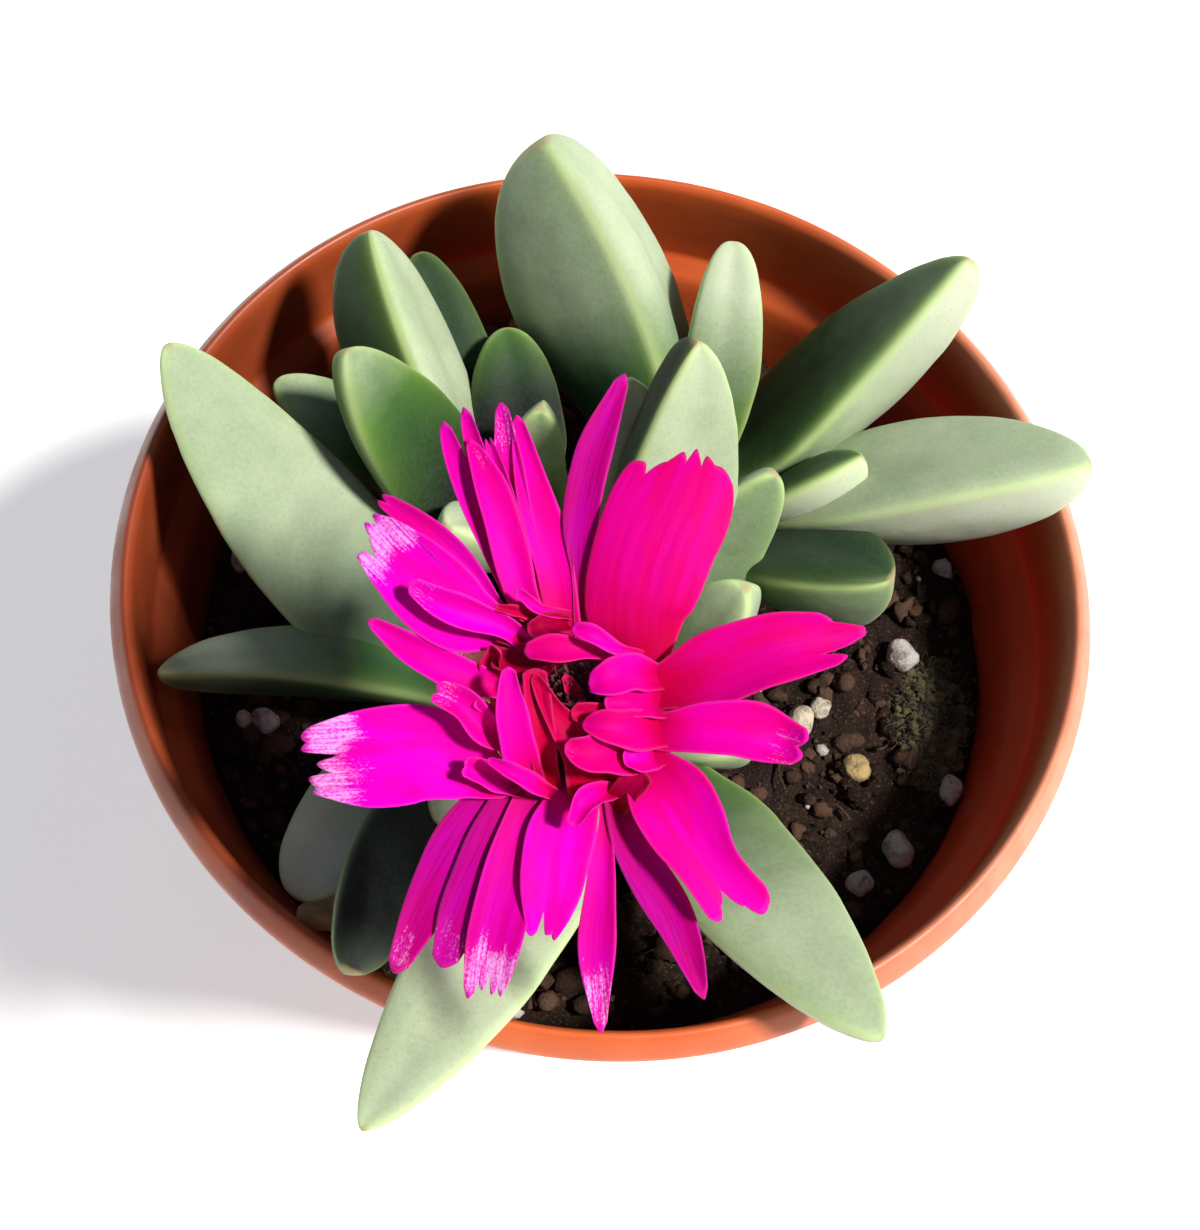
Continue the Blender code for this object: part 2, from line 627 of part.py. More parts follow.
def petal_mesh(foot, tip, arch, width, end_width, teeth, trough, draw, blade=BLADE):
    """A blade from foot to tip in the flower's plane, with its foot sunk in the disc."""
    start, end = in_flower(*foot), in_flower(*tip)
    _, _, axis = flower_axes()
    flat = end - start
    flat -= axis * flat.dot(axis)
    bend = start + flat * 0.38 + axis * arch
    short = notches(teeth, draw)
    bm = bmesh.new()
    faces = []
    for row in PETAL_ROWS if teeth else SMALL_PETAL_ROWS:
        line = []
        for i, less in enumerate(short):
            u = 2 * i / (len(short) - 1) - 1
            t = row * (1 - less)
            point = start * (1 - t) ** 2 + bend * 2 * t * (1 - t) + end * t * t
            along = ((bend - start) * (1 - t) + (end - bend) * t).normalized()
            side = flat.cross(axis).normalized()
            normal = side.cross(along).normalized()
            half = width / 2 * petal_width(t, end_width) + (blade - BLADE) / 2
            raised = trough * (u * u - 0.3) * math.sin(math.pi * min(1, t + 0.1))
            centre = point + side * half * u + normal * raised
            line.append((bm.verts.new(centre + normal * blade / 2), bm.verts.new(centre - normal * blade / 2)))
        faces.append(line)
    last = len(short) - 1
    for low, high in zip(faces, faces[1:]):
        for i in range(last):
            corners = (low[i], low[i + 1], high[i + 1], high[i])
            diagonal = ((0, 1, 2), (0, 2, 3)) if i % 2 else ((0, 1, 3), (1, 2, 3))
            for side in (0, 1):
                for three in diagonal:
                    bm.faces.new([corners[k][side] for k in three])
        for i in (0, last):
            bm.faces.new([low[i][0], low[i][1], high[i][1], high[i][0]])
    for line in (faces[0], faces[-1]):
        for i in range(last):
            bm.faces.new([line[i][0], line[i][1], line[i + 1][1], line[i + 1][0]])
    return bm


def on_ring(radius, angle, height):
    """A point of a ring in the flower's plane."""
    turn = math.radians(angle)
    return radius * math.cos(turn), radius * math.sin(turn), height


def petal_shapes():
    """The shape of each petal, the inner ones last."""
    draw = random.Random(SEED)
    for i, (angle, x, y, rise, width, end, teeth, trough) in enumerate(OUTER_PETALS):
        foot = on_ring(FOOT_RING - 1.6, angle, 1.0)
        yield foot, (x, y, rise), 3.2 + 0.8 * (i % 3), width, end, teeth, trough, draw
    for angle, x, y, rise, width, end, teeth, trough in INNER_PETALS:
        yield on_ring(FOOT_RING - 0.6, angle, 0.9), (x, y, rise), rise, width, end, teeth, trough, draw


def make_bloom(finish):
    """The petals, joined to the disc that they stand on."""
    profile = [
        (0, 0.2),
        (CUP_RADIUS - 1.2, 0.2),
        (CUP_RADIUS - 0.5, 0.9),
        (CUP_RADIUS - 1.4, DISC_TOP),
        (0, DISC_TOP),
    ]
    bloom = turned_flower("bloom", profile, 18)
    bloom.data.materials.append(finish)
    petals = [new_object(f"petal_{i}", petal_mesh(*shape)) for i, shape in enumerate(petal_shapes())]
    unite(bloom, petals)
    smooth(bloom, 35)
    return bloom


def make_calyx(finish):
    """The green cup under the petals, with its sepals."""
    profile = [
        (0, -CUP_DEPTH),
        (STALK_RADIUS + 0.5, -CUP_DEPTH + 0.2),
        (4.6, -CUP_DEPTH + 2.6),
        (CUP_RADIUS - 0.9, -2.6),
        (CUP_RADIUS, -0.8),
        (CUP_RADIUS - 0.6, -CLEAR + 0.2),
        (0, -CLEAR + 0.2),
    ]
    calyx = turned_flower("calyx", profile, 18)
    calyx.data.materials.append(finish)
    sepals = []
    for i, (angle, reach, width) in enumerate(SEPALS):
        foot, tip = on_ring(CUP_RADIUS - 2.4, angle, -1.8), on_ring(reach, angle, -0.6)
        sepals.append(new_object(f"sepal_{i}", petal_mesh(foot, tip, -1.6, width, 0.3, 0, 0.4, None)))
    unite(calyx, sepals)
    smooth(calyx, 35)
    return calyx


def make_stamens(finish):
    """A low dome of short filaments in the middle of the bloom, clear of the petals that lean over it."""
    low = DISC_TOP + CLEAR
    profile = [(0, low), (3.6, low), (3.8, low + 0.6), (2.4, low + 1.3), (0, low + 1.6)]
    dome = turned_flower("stamens", profile, 14)
    dome.data.materials.append(finish)
    draw = random.Random(SEED)
    threads = []
    for i in range(STAMENS):
        turn, reach = i * 2.4, 3.2 * math.sqrt((i + 0.5) / STAMENS)
        x, y = reach * math.cos(turn), reach * math.sin(turn)
        top = in_flower(x * 1.2, y * 1.2, low + 2.9 + draw.uniform(-0.5, 0.5))
        threads.append(rod(f"stamen_{i}", in_flower(x, y, low + 0.5), top, 0.38, 0.45, 5))
    unite(dome, threads)
    thick = BLADE + 2 * CLEAR
    blades = [new_object(f"blade_{i}", petal_mesh(*shape, thick)) for i, shape in enumerate(petal_shapes())]
    cut_back(dome, blades)
    for blade in blades:
        bpy.data.objects.remove(blade)
    return dome


def stalk_mesh(grow=0.0):
    """The flower's bowed stalk, from the crown to the bottom of the cup."""
    top = in_flower(0, 0, -CUP_DEPTH - CLEAR)
    bend = in_flower(0, 0, -CUP_DEPTH - STALK_STRAIGHT)
    foot = STALK_FOOT
    bm = bmesh.new()
    rings = []
    steps = 7
    for i in range(steps + 1):
        t = i / steps
        point = foot * (1 - t) ** 2 + bend * 2 * t * (1 - t) + top * t * t
        along = ((bend - foot) * (1 - t) + (top - bend) * t).normalized()
        side = along.cross(Vector((1, 0, 0))).normalized()
        other = along.cross(side)
        radius = STALK_RADIUS * (1.15 - 0.25 * math.sin(math.pi * t)) + grow
        turn = 2 * math.pi / STALK_SIDES
        rings.append([
            bm.verts.new(point + side * radius * math.cos(k * turn) + other * radius * math.sin(k * turn))
            for k in range(STALK_SIDES)
        ])
    join_rings(bm, rings)
    bm.faces.new(rings[0])
    bm.faces.new(rings[-1])
    return bm


def main():
    clear_scene()
    plastic = material("terracotta_plastic", (0.62, 0.18, 0.07), 0.42)
    earth = material("potting_soil", (0.035, 0.024, 0.018), 0.95)
    wood = material("crown_bark", (0.30, 0.22, 0.14), 0.85)
    green = material("leaf_green", (0.42, 0.55, 0.38), 0.6)
    magenta = material("petal_magenta", (0.85, 0.0, 0.42), 0.5)
    dark = material("stamen_red", (0.09, 0.012, 0.016), 0.8)
    pale = material("calyx_green", (0.55, 0.62, 0.38), 0.55)
    straw = material("dry_straw", (0.62, 0.45, 0.26), 0.85)
    make_pot(plastic)
    make_soil(earth)
    crown_cutter = make_crown("crown_cutter", wood, CLEAR)
    stalk = new_object("flower_stalk", stalk_mesh(), pale)
    cut_back(stalk, [crown_cutter])
    smooth(stalk)
    stalk_cutter = new_object("stalk_cutter", stalk_mesh(CLEAR))
    make_leaves(green, [crown_cutter, stalk_cutter])
    dry = new_object("dry_leaf", dry_leaf_mesh(), straw)
    smooth(dry, 35)
    bpy.data.objects.remove(crown_cutter)
    bpy.data.objects.remove(stalk_cutter)
    make_crown("crown", wood)
    make_calyx(pale)
    make_bloom(magenta)
    make_stamens(dark)


main()
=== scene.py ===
"""Looks of the potted lobster claw: finer leaves, flower, soil and pot in the place of the plain solids.

Shapes are worked out in millimetres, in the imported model's frame, and become metres when a mesh is made.
"""

import math

import bmesh
import bpy
import numpy as np
from mathutils import Matrix, Vector, noise


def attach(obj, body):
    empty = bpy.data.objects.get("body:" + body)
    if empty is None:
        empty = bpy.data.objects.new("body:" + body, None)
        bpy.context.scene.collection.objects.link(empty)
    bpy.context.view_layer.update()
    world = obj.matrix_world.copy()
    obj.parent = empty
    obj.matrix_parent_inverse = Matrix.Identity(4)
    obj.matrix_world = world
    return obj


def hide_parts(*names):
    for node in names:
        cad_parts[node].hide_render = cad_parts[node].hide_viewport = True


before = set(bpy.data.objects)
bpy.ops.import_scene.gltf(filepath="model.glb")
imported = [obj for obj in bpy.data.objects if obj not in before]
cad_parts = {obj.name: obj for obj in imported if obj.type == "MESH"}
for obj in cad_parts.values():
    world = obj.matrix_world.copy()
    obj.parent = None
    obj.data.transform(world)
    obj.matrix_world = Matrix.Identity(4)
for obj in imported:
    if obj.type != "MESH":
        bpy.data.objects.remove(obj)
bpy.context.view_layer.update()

MM = 0.001
SEED = 11

# Pot and soil
POT_HEIGHT = 90.0
RIM_RADIUS = 52.5
LIP = 2.5
LIP_OVERHANG = 1.6
COLLAR_DEPTH = 13.8
COLLAR_TAPER = 1.4
WALL = 1.3
MOUTH_LEAN = 0.7
SHOULDER_RADIUS = 48.3
FOOT_RADIUS = 33.5
FOOT_WIDTH = 4.5
RECESS = 1.4
BOSS_RADIUS = 11.0
FLOOR_TOP = 2.7
POT_SIDES = 240
SHARP_ANGLE = math.radians(50)
DRAIN_HOLES = 6
DRAIN_RADIUS = 3.5
DRAIN_CIRCLE = 22.0
CLEAR = 0.32
SOIL_TOP = 69.5
CRUMBS = 2000

# Crown
ROOT_FOOT = 54.0
ROOT_RADIUS = 4.0
HUB = (2.5, -3.0, 75.0)
KNOB_HEIGHT = 77.0
BARK_GRAIN = 0.45
KNOBS = {
    "right": (9.5, 16.0),
    "middle": (7.5, -4.5),
    "left": (-12.5, 9.0),
    "front": (3.5, -13.5),
    "corner": (-8.5, -14.0),
}

# Each leaf grows from a knob of the crown to its tip. width and depth are its greatest; lift bows it up and
# sway bows it sideways, both at its middle; roll turns it about its own length, and point is 0.5 for a blunt
# end and 0.8 for a pointed one.
LEAVES = [
    # name, knob, foot offset, tip, width, depth, lift, sway, roll, point
    ("back_broad", "right", (-1.5, 2.2), (-14.3, 41.5, 106.0), 17.5, 17.0, -2.5, -2.5, 55, 0.52),
    ("middle_upright", "middle", (-1.2, -1.0), (5.2, 11.9, 117.0), 17.0, 8.5, -2.5, 0.5, 38, 0.70),
    ("right_upper", "right", (0.5, 1.5), (33.0, 34.8, 106.0), 17.0, 10.0, -5.0, 1.5, -36, 0.80),
    ("right_small", "right", (3.0, 0.5), (25.4, 15.8, 94.0), 10.5, 6.0, 1.5, -2.0, -33, 0.57),
    ("right_long", "right", (2.4, -1.4), (48.8, 16.1, 99.0), 17.0, 11.5, 2.0, 0.5, -26, 0.60),
    ("left_long", "corner", (-1.1, 1.2), (-49.1, 12.5, 100.0), 16.5, 8.5, -2.5, 2.0, 0, 0.60),
    ("front_right", "front", (1.9, -1.1), (31.8, -47.6, 98.0), 14.2, 9.0, 4.5, -2.0, -6, 0.66),
    ("front_left", "front", (-1.9, -2.0), (-13.6, -63.2, 100.0), 13.5, 8.0, 5.5, 2.0, 3, 0.65),
    ("left_upper", "left", (-0.3, 1.3), (-30.9, 29.1, 102.0), 13.5, 10.5, 1.3, 1.5, 52, 0.58),
    ("left_middle", "left", (-0.5, -2.0), (-30.0, 12.7, 104.0), 13.0, 8.6, 0.8, 1.2, -4, 0.58),
    ("corner_front", "corner", (0.8, -1.9), (-17.7, -48.9, 97.0), 11.0, 8.6, 3.0, -1.6, -19, 0.42),
    ("corner_side", "corner", (-1.6, -1.0), (-25.4, -39.9, 86.0), 12.5, 7.7, 2.2, -1.6, 2, 0.45),
    ("corner_low", "corner", (-2.0, 0.2), (-44.5, -18.7, 86.0), 7.5, 8.0, 1.8, -3.0, 16, 0.68),
    ("right_low", "right", (2.5, -3.5), (30.0, 3.0, 92.0), 13.0, 11.0, 1.0, -1.5, -14, 0.42),
    ("middle_back", "middle", (-3.0, 1.0), (-0.5, 12.0, 108.0), 10.0, 7.0, -1.0, 0.0, 0, 0.50),
    ("middle_right", "middle", (1.8, 0.1), (16.0, 10.2, 97.0), 9.0, 7.5, -1.0, 1.8, 30, 0.42),
    ("middle_short", "middle", (1.5, -2.0), (14.5, -1.5, 93.0), 8.5, 7.0, 0.0, 0.0, 0, 0.45),
    ("back_small", "right", (0.4, 3.5), (8.1, 38.1, 98.0), 8.5, 8.0, 3.0, 0.0, 0, 0.46),
    ("left_back", "left", (-1.5, 2.5), (-27.0, 35.6, 90.0), 9.0, 7.0, 0.0, -0.5, 0, 0.45),
    ("left_low", "left", (-1.5, 0.0), (-39.5, 16.5, 89.0), 10.0, 7.5, 0.0, 0.0, 0, 0.52),
    ("back_low", "left", (2.5, 2.0), (-15.5, 27.5, 90.0), 11.0, 8.5, 0.0, 0.0, 0, 0.48),
    ("left_inner", "left", (3.0, 0.0), (-9.5, 13.0, 98.0), 7.5, 6.0, 0.0, 0.0, 0, 0.50),
    ("left_front", "left", (1.5, -2.5), (-17.0, -1.5, 96.0), 8.5, 7.0, 0.0, 0.0, 0, 0.50),
    ("front_small", "front", (2.5, 1.0), (17.0, -17.0, 88.0), 8.0, 6.5, 0.0, 0.0, 0, 0.42),
    ("corner_low_front", "corner", (1.5, -2.5), (-12.2, -32.2, 92.0), 9.5, 7.5, 1.0, 0.0, 0, 0.50),
]
# How dark each leaf is, partly its own tone and partly painted shade and painted light: its upper face, its
# flanks and its lower end, whose painted shade stands for the shade in the clump, and how far up the lower
# end's tone reaches.
# -1 is almost white with wax, 0 pale, 1 bare green and 2 almost black.
DARKNESS_AND_SHADE = {
    "back_broad": (-0.05, 0.40, 1.8, 0.62),
    "middle_upright": (0.08, 1.85, 0.8, 0.5),
    "right_upper": (0.72, -0.7, 1.3, 0.9),
    "right_small": (1.1, -0.4, 0.6, 0.4),
    "right_long": (0.12, -0.5, 0.3, 0.4),
    "left_long": (0.2, 0.1, 1.5, 0.55),
    "front_right": (0.25, 0.1, 1.4, 0.65),
    "front_left": (0.05, 0.1, 0.6, 0.4),
    "left_upper": (0.0, 1.5, 0.9, 0.5),
    "left_middle": (0.42, 0.9, 2.6, 0.95),
    "corner_front": (1.95, 1.6, 2.0, 0.6),
    "corner_side": (-0.45, -0.4, 1.3, 0.8),
    "corner_low": (0.0, 0.8, 1.7, 0.8),
    "right_low": (1.7, 0.6, 1.5, 0.7),
    "middle_back": (0.2, 0.0, 1.2, 0.7),
    "middle_right": (0.6, 0.1, 0.9, 0.5),
    "middle_short": (0.2, 0.1, 0.7, 0.5),
    "back_small": (-0.3, -0.2, 1.4, 0.75),
    "left_back": (1.65, 1.65, 2.0, 0.6),
    "left_low": (0.3, 0.6, 2.0, 0.9),
    "back_low": (1.3, 1.4, 2.8, 0.95),
    "left_inner": (0.5, 0.3, 1.5, 0.7),
    "left_front": (0.0, 0.2, 0.8, 0.6),
    "front_small": (-0.2, 0.1, 0.3, 0.4),
    "corner_low_front": (0.1, 0.3, 1.2, 0.6),
}
# Half of a leaf's section from the middle of its upper face to its keel, across in half-widths, up in depths
HALF_SECTION = [
    (0.0, 0.28), (0.5, 0.31), (0.84, 0.28), (0.965, 0.225), (1.0, 0.15), (0.965, 0.05),
    (0.84, -0.16), (0.60, -0.39), (0.32, -0.60), (0.12, -0.71), (0.0, -0.745),
]
LEAF_ROWS = 54
FOOT_SHARE = 0.52  # a leaf's width at its foot, as a share of its greatest
WIDEST = 0.42  # how far along a leaf it is widest, as a share of its length
DEEPEST = 0.60  # and how far along it is deepest
# foot, tip, width, depth, lift, sway, roll, point
DRY_LEAF = ((-15.5, -32.0, 67.5), (-25.5, -40.0, 81.2), 5.0, 3.4, -0.8, 0.6, 20, 0.5)

# Flower
FLOWER_CENTRE = np.array([-0.1, -30.7, 124.0])
FLOWER_LEAN = math.radians(12.0)
FLOWER_AXES = np.array([
    (1, 0, 0),
    (0, math.cos(FLOWER_LEAN), math.sin(FLOWER_LEAN)),
    (0, -math.sin(FLOWER_LEAN), math.cos(FLOWER_LEAN)),
])
CUP_RADIUS = 7.6
CUP_DEPTH = 7.5
DISC_TOP = 1.6
STALK_RADIUS = 1.9
STALK_FOOT = np.array([-1.0, -6.5, 78.0])
STALK_STRAIGHT = 20.0
STALK_SIDES = 28
BLADE = 0.36  # thickness of a petal
PETAL_ROWS = 32
STAMENS = 150
STAMEN_HEIGHT = 1.9
GOLDEN_TURN = 2.39996  # the angle between one stamen and the next
# angle in the flower's plane, reach, width
SEPALS = [(318, 13.0, 6.0), (30, 11.0, 5.0), (95, 12.0, 5.5), (165, 11.5, 5.0), (238, 12.0, 5.5)]

# A petal's tone: how bright it is, partly its own colour and partly painted shade for petals that lie in
# shade, its blue as a share of its red, and how pale its foot is
TONES = {
    "pink": (0.68, 0.32, 0.0),
    "rose": (0.78, 0.44, 0.0),
    "violet": (0.79, 0.62, 0.0),
    "mauve": (0.64, 0.50, 0.0),
    "plum": (0.46, 0.50, 0.0),
    "plum_pale": (0.47, 0.48, 1.0),
    "crimson": (0.52, 0.12, 0.0),
    "dark": (0.34, 0.12, 0.0),
}
# The end of a petal, from its left edge to its right one: how far it stops short, as a share of its length
POINT = (0.04, 0, 0.04)
TWO_TEETH = (0.03, 0, 0.04, 0, 0.05)
BROAD_END = (0.16, 0.14, 0.2, 0.1, 0.03, 0.07, 0, 0.07, 0.02, 0.05, 0.05, 0.1)
TORN_END = (0.1, 0.09, 0.16, 0.06, 0, 0.05, 0, 0.08)
LEFT_END = (0.05, 0.06, 0.03, 0.12, 0.06, 0.16, 0, 0.02, 0, 0.04)
FRAYED_END = (0.12, 0.03, 0.06, 0.03, 0.11, 0.04, 0.07, 0.02, 0, 0.05)
FRONT_END = (0.12, 0, 0.03, 0.02, 0.14, 0.02, 0, 0.03)
FORKED_END = (0.1, 0.02, 0, 0.08, 0.2, 0.15, 0.1, 0.15)
RIGHT_END = (0.2, 0.14, 0, 0, 0.05, 0.2, 0.1, 0.16)
# Each petal: its tone, the rise of its middle and of its end above its ring, its end, how far its edges stand
# above its middle, how much painted white sheen lies on its end, how far its end curls up, and its middle
# line as (x, y, width) in the flower's own plane. An outer petal starts on the ring, straight below its first
# place.
PETAL_RING = 4.6
OUTER_PETALS = [
    ("plum", 4, 4, POINT, 0.35, 0, 0,
     [(-1.5, 7, 1), (-2.2, 11, 1.4), (-2.7, 15, 3), (-2.5, 20.5, 3.1), (-1, 28.5, 1)]),
    ("mauve", 3.7, 3.5, POINT, 0.4, 0.1, 0,
     [(-6.5, 7.5, 1.5), (-11.5, 14.5, 2), (-14, 19, 1.8), (-15.5, 22, 0.8)]),
    ("mauve", 3.6, 3.5, POINT, 0.5, 0.4, 0,
     [(-6, 7.5, 1.5), (-8, 11.5, 2), (-11, 17, 2.2), (-14, 23.5, 0.8)]),
    ("mauve", 3.3, 3.2, POINT, 0.6, 0.6, 0,
     [(-5, 7.5, 1.6), (-6.5, 11.5, 2.2), (-9, 18, 2.5), (-11, 24.5, 1)]),
    ("mauve", 3.7, 3.8, TWO_TEETH, 0.5, 0.4, 0, [(-5.5, 7.5, 1.4), (-7.5, 12.5, 1.6), (-11.5, 21, 0.8)]),
    ("rose", 4.5, 4.6, POINT, 0.5, 0.4, 0,
     [(-6, 7.5, 2.6), (-8, 11.5, 3), (-10.5, 16.5, 2.7), (-13, 20.5, 0.8)]),
    ("rose", 3.5, 3.6, POINT, 0.4, 0.3, 0,
     [(-3, 7.5, 2.8), (-4.5, 11.5, 3.3), (-6.5, 16, 3.3), (-9.5, 23.5, 0.8)]),
    ("pink", 4.9, 5.3, BROAD_END, -0.5, 0.25, 0,
     [(3, 4.5, 5.2), (3, 9, 8.8), (3.6, 14, 10), (5.5, 21, 7.4), (5.7, 22.5, 4.6)]),
    ("mauve", 3.6, 3.8, TWO_TEETH, 0.5, 0.3, 0,
     [(-8, 6.5, 1.5), (-10.5, 9, 2), (-14, 11.5, 2.5), (-19.5, 14.5, 1.2)]),
    ("violet", 3.9, 3.7, TORN_END, 0.8, 0.85, 0,
     [(-8, 5, 3.4), (-11, 5.5, 6.2), (-16.5, 9, 6.1), (-20.5, 12, 3.4)]),
    ("violet", 4.8, 5.4, POINT, 1, 0.5, 1, [(-7, 5, 1.8), (-10, 5.5, 2.6), (-13, 6, 2.4), (-15.5, 7, 1.2)]),
    ("rose", 3.6, 3.6, POINT, 0.8, 0.25, 0.5,
     [(-6.5, 0.5, 2), (-10, 0.7, 2.9), (-13, 1.6, 2.9), (-18.5, 4, 0.8)]),
    ("violet", 3.1, 2.6, LEFT_END, 0.7, 0.85, 0,
     [(-5.5, -7, 3), (-8.5, -6.5, 5.5), (-12, -6, 8), (-16.5, -7, 8), (-22, -8, 5)]),
    ("rose", 4.8, 5.4, TWO_TEETH, 1, 0.6, 1,
     [(-5.5, -4, 1.5), (-7.5, -3.5, 2.4), (-9.5, -2, 2.5), (-12, -1.3, 1.9)]),
    ("plum", 1.5, 1, POINT, 0.3, 0.6, 0,
     [(-5.3, -7.5, 3.4), (-7.4, -11, 4.6), (-9.5, -16, 4.2), (-11.7, -23.5, 1.4)]),
    ("plum", 1.9, 1.3, POINT, 0.3, 0.5, 0,
     [(-4, -7.5, 3.4), (-5.4, -12, 4.5), (-7, -17.5, 4), (-8, -22.5, 1.8)]),
    ("mauve", 2.3, 1.6, FRAYED_END, 0.4, 0.8, 0,
     [(-2.6, -8, 3.6), (-3.4, -13, 4.6), (-4.2, -19, 4.6), (-4.3, -24.6, 3.2)]),
    ("violet", 2.8, 2.3, FRONT_END, 0.3, 0.2, 0,
     [(0.3, -7.3, 4.2), (-0.2, -10.5, 5.4), (-0.3, -15, 5), (-0.4, -19, 2.7)]),
    ("mauve", 1.5, 1.1, POINT, 0.4, 0.7, 0,
     [(2.9, -7.8, 0.8), (3.5, -13.5, 2.4), (3.8, -18, 3.1), (5.4, -25.6, 0.8)]),
    ("plum_pale", 1.4, 1, POINT, 0.5, 0.1, 0,
     [(3.6, -6.4, 2.2), (5.7, -10.5, 3.2), (10, -16, 3.4), (13.2, -21.7, 0.8)]),
    ("rose", 3.6, 3.1, FORKED_END, 0.9, 0.1, 0,
     [(5.5, -4, 4), (7.5, -6, 6.6), (9.7, -8.7, 6.4), (12, -11.5, 5), (16, -15.3, 5.6)]),
    ("rose", 3.8, 3.9, TWO_TEETH, 0.9, 0.5, 1.6,
     [(6, -1, 3), (10, -0.4, 4.2), (13.6, -0.2, 4.8), (18, -1, 3)]),
    ("pink", 4.4, 4.4, RIGHT_END, 1, 0.15, 0,
     [(5.5, 2.4, 3.4), (10, 4.5, 6.3), (14, 6.4, 6), (22, 9.2, 3.3)]),
]
INNER_PETALS = [
    ("rose", 4.6, 5.6, POINT, 0.5, 0.2, 0, [(-2, 7.5, 0.8), (-4.5, 7, 1), (-7, 8, 0.8)]),
    ("crimson", 4.2, 5, POINT, 0.4, 0, 0, [(-4, 7, 1), (-6.5, 6.5, 1), (-8.5, 6.5, 0.6)]),
    ("dark", 4.2, 4.8, POINT, 0.7, 0, 0, [(-2, 7, 1.3), (-4.5, 5.5, 2), (-5.5, 5, 1.2)]),
    ("pink", 6, 6.2, POINT, 0.5, 0, 0, [(4, 4.5, 1), (-0.5, 4, 1.5), (-3.5, 3.5, 2.3), (-5.5, 3, 1)]),
    ("rose", 6.8, 7.2, POINT, 0.5, 0.2, 0, [(4.5, 5, 1), (1.5, 4.5, 1.1), (-0.5, 5, 1.5), (-2, 5.3, 0.7)]),
    ("crimson", 3.6, 4.8, POINT, 0.9, 0, 0.6, [(-8, 1.5, 1.8), (-8, 2.5, 1.6), (-7.5, 3.5, 1.3)]),
    ("rose", 5.6, 6.8, POINT, 0.5, 0, 0,
     [(-2.5, -7.5, 1.6), (-4.5, -5, 2.8), (-5.7, -2, 2.6), (-6.5, 1.5, 1)]),
    ("crimson", 4.8, 5.2, POINT, 0.5, 0, 0, [(-1.5, -7.5, 1.8), (-3, -3.5, 2.3), (-4.5, 2, 2)]),
    ("crimson", 4.6, 5.4, POINT, 0.6, 0, 0,
     [(2.5, -7, 5.4), (0.5, -4, 4), (-2.3, -1.3, 2.1), (-4.5, 1.5, 0.7)]),
    ("crimson", 3.8, 4.4, POINT, 0.5, 0, 0, [(-0.5, -1, 1.6), (-1, 0.5, 1.5), (-2, 2, 0.7)]),
    ("crimson", 4.4, 5.4, POINT, 0.6, 0, 0, [(6, 0.5, 2.5), (2, -1, 2.7), (-1, -1, 1.2)]),
    ("pink", 5.9, 6.2, POINT, 0.6, 0, 0, [(7, -0.5, 3.4), (3.5, -2, 3.2), (1, -2, 2), (0, -2, 0.7)]),
    ("pink", 5, 6, POINT, 0.6, 0, 0, [(6.5, 1.5, 2.8), (4, 0.5, 2.7), (1.5, 0, 1.3)]),
    ("rose", 6.3, 6.6, POINT, 0.8, 0.1, 0, [(6, 3.5, 1.9), (3.5, 2.7, 3.1), (1.2, 1.5, 2.7), (0, 1.2, 1.4)]),
    ("pink", 5.8, 6.4, POINT, 0.8, 0.4, 0.4,
     [(5.5, -3.2, 2.9), (2.5, -4.2, 3.2), (0.4, -4.4, 2.7), (-1, -4, 0.8)]),
    ("rose", 4.4, 5.4, POINT, 0.8, 0.3, 0.3, [(6.7, -2.8, 2.2), (5, -3.8, 2.7), (3.7, -4.3, 1.3)]),
    ("rose", 5, 4.6, POINT, 0.8, 0.2, 0, [(3.5, -6.3, 1.3), (1.3, -8, 2), (0.5, -10, 0.8)]),
    ("rose", 5.6, 5.8, POINT, 0.6, 0, 0, [(-1, -7.5, 1), (-4, -7, 1.5), (-7, -6, 0.6)]),
    ("rose", 3.4, 4.6, TWO_TEETH, 0.8, 0.3, 0.4, [(-3.5, -7.5, 1.2), (-6.2, -7, 2.2), (-9, -6.7, 1.6)]),
    ("dark", 3.2, 3.9, TWO_TEETH, 0.5, 0, 0, [(-2, 2.4, 2.2), (-5.5, 2.4, 2.4), (-8, 2.7, 1.8)]),
    ("crimson", 3, 3.6, POINT, 0.5, 0, 0, [(-3.5, 4.5, 2), (-6, 4.7, 2.1), (-8, 5, 2)]),
    ("dark", 3.4, 4.2, POINT, 0.4, 0, 0, [(3.7, -7.5, 2.4), (4.8, -6, 2.4), (5.7, -4.8, 1.8)]),
    ("crimson", 3.2, 3.8, POINT, 0.4, 0, 0, [(-4.3, 5.7, 1.6), (-5.8, 6.8, 1.8), (-7, 7, 1.2)]),
    ("rose", 4.2, 5.8, POINT, 0.4, 0, 0, [(-5.5, -3.5, 0.8), (-6.7, -2.3, 1), (-8.7, -1.5, 0.9)]),
]

# Pale grains that show in the soil: x, y, radius, and tone from 0, white, through grey and cream to 1, ochre
GRAINS = [
    (35.1, 3.9, 1.9, 0.3), (24.4, -6.1, 2.0, 0.6), (26.6, -4.0, 1.5, 0.55), (22.4, -8.0, 1.6, 0.5),
    (31.6, -10.4, 1.5, 0.95), (42.2, -11.4, 1.6, 0.1), (36.9, -19.1, 1.8, 0.15), (33.0, -23.8, 1.6, 0.2),
    (-35.5, 27.5, 1.7, 0.1), (-35.1, -16.2, 1.6, 0.2), (-15.6, 41.0, 1.3, 0.9), (-21.1, 39.6, 1.2, 0.8),
]
MOSS = (39.5, -3.5, 5.5)  # x, y and radius of the mossy patch

# Camera, from the ellipse of the rim and the places of the leaves in the photograph
AIM = Vector((0.0, -0.00584, 0.09))
ELEVATION = math.radians(65.06)
ROLL = math.radians(9.0)
DISTANCE = 0.2
FOCAL = 1906.7  # in pixels of a picture 1230 high
PICTURE_HEIGHT = 1230

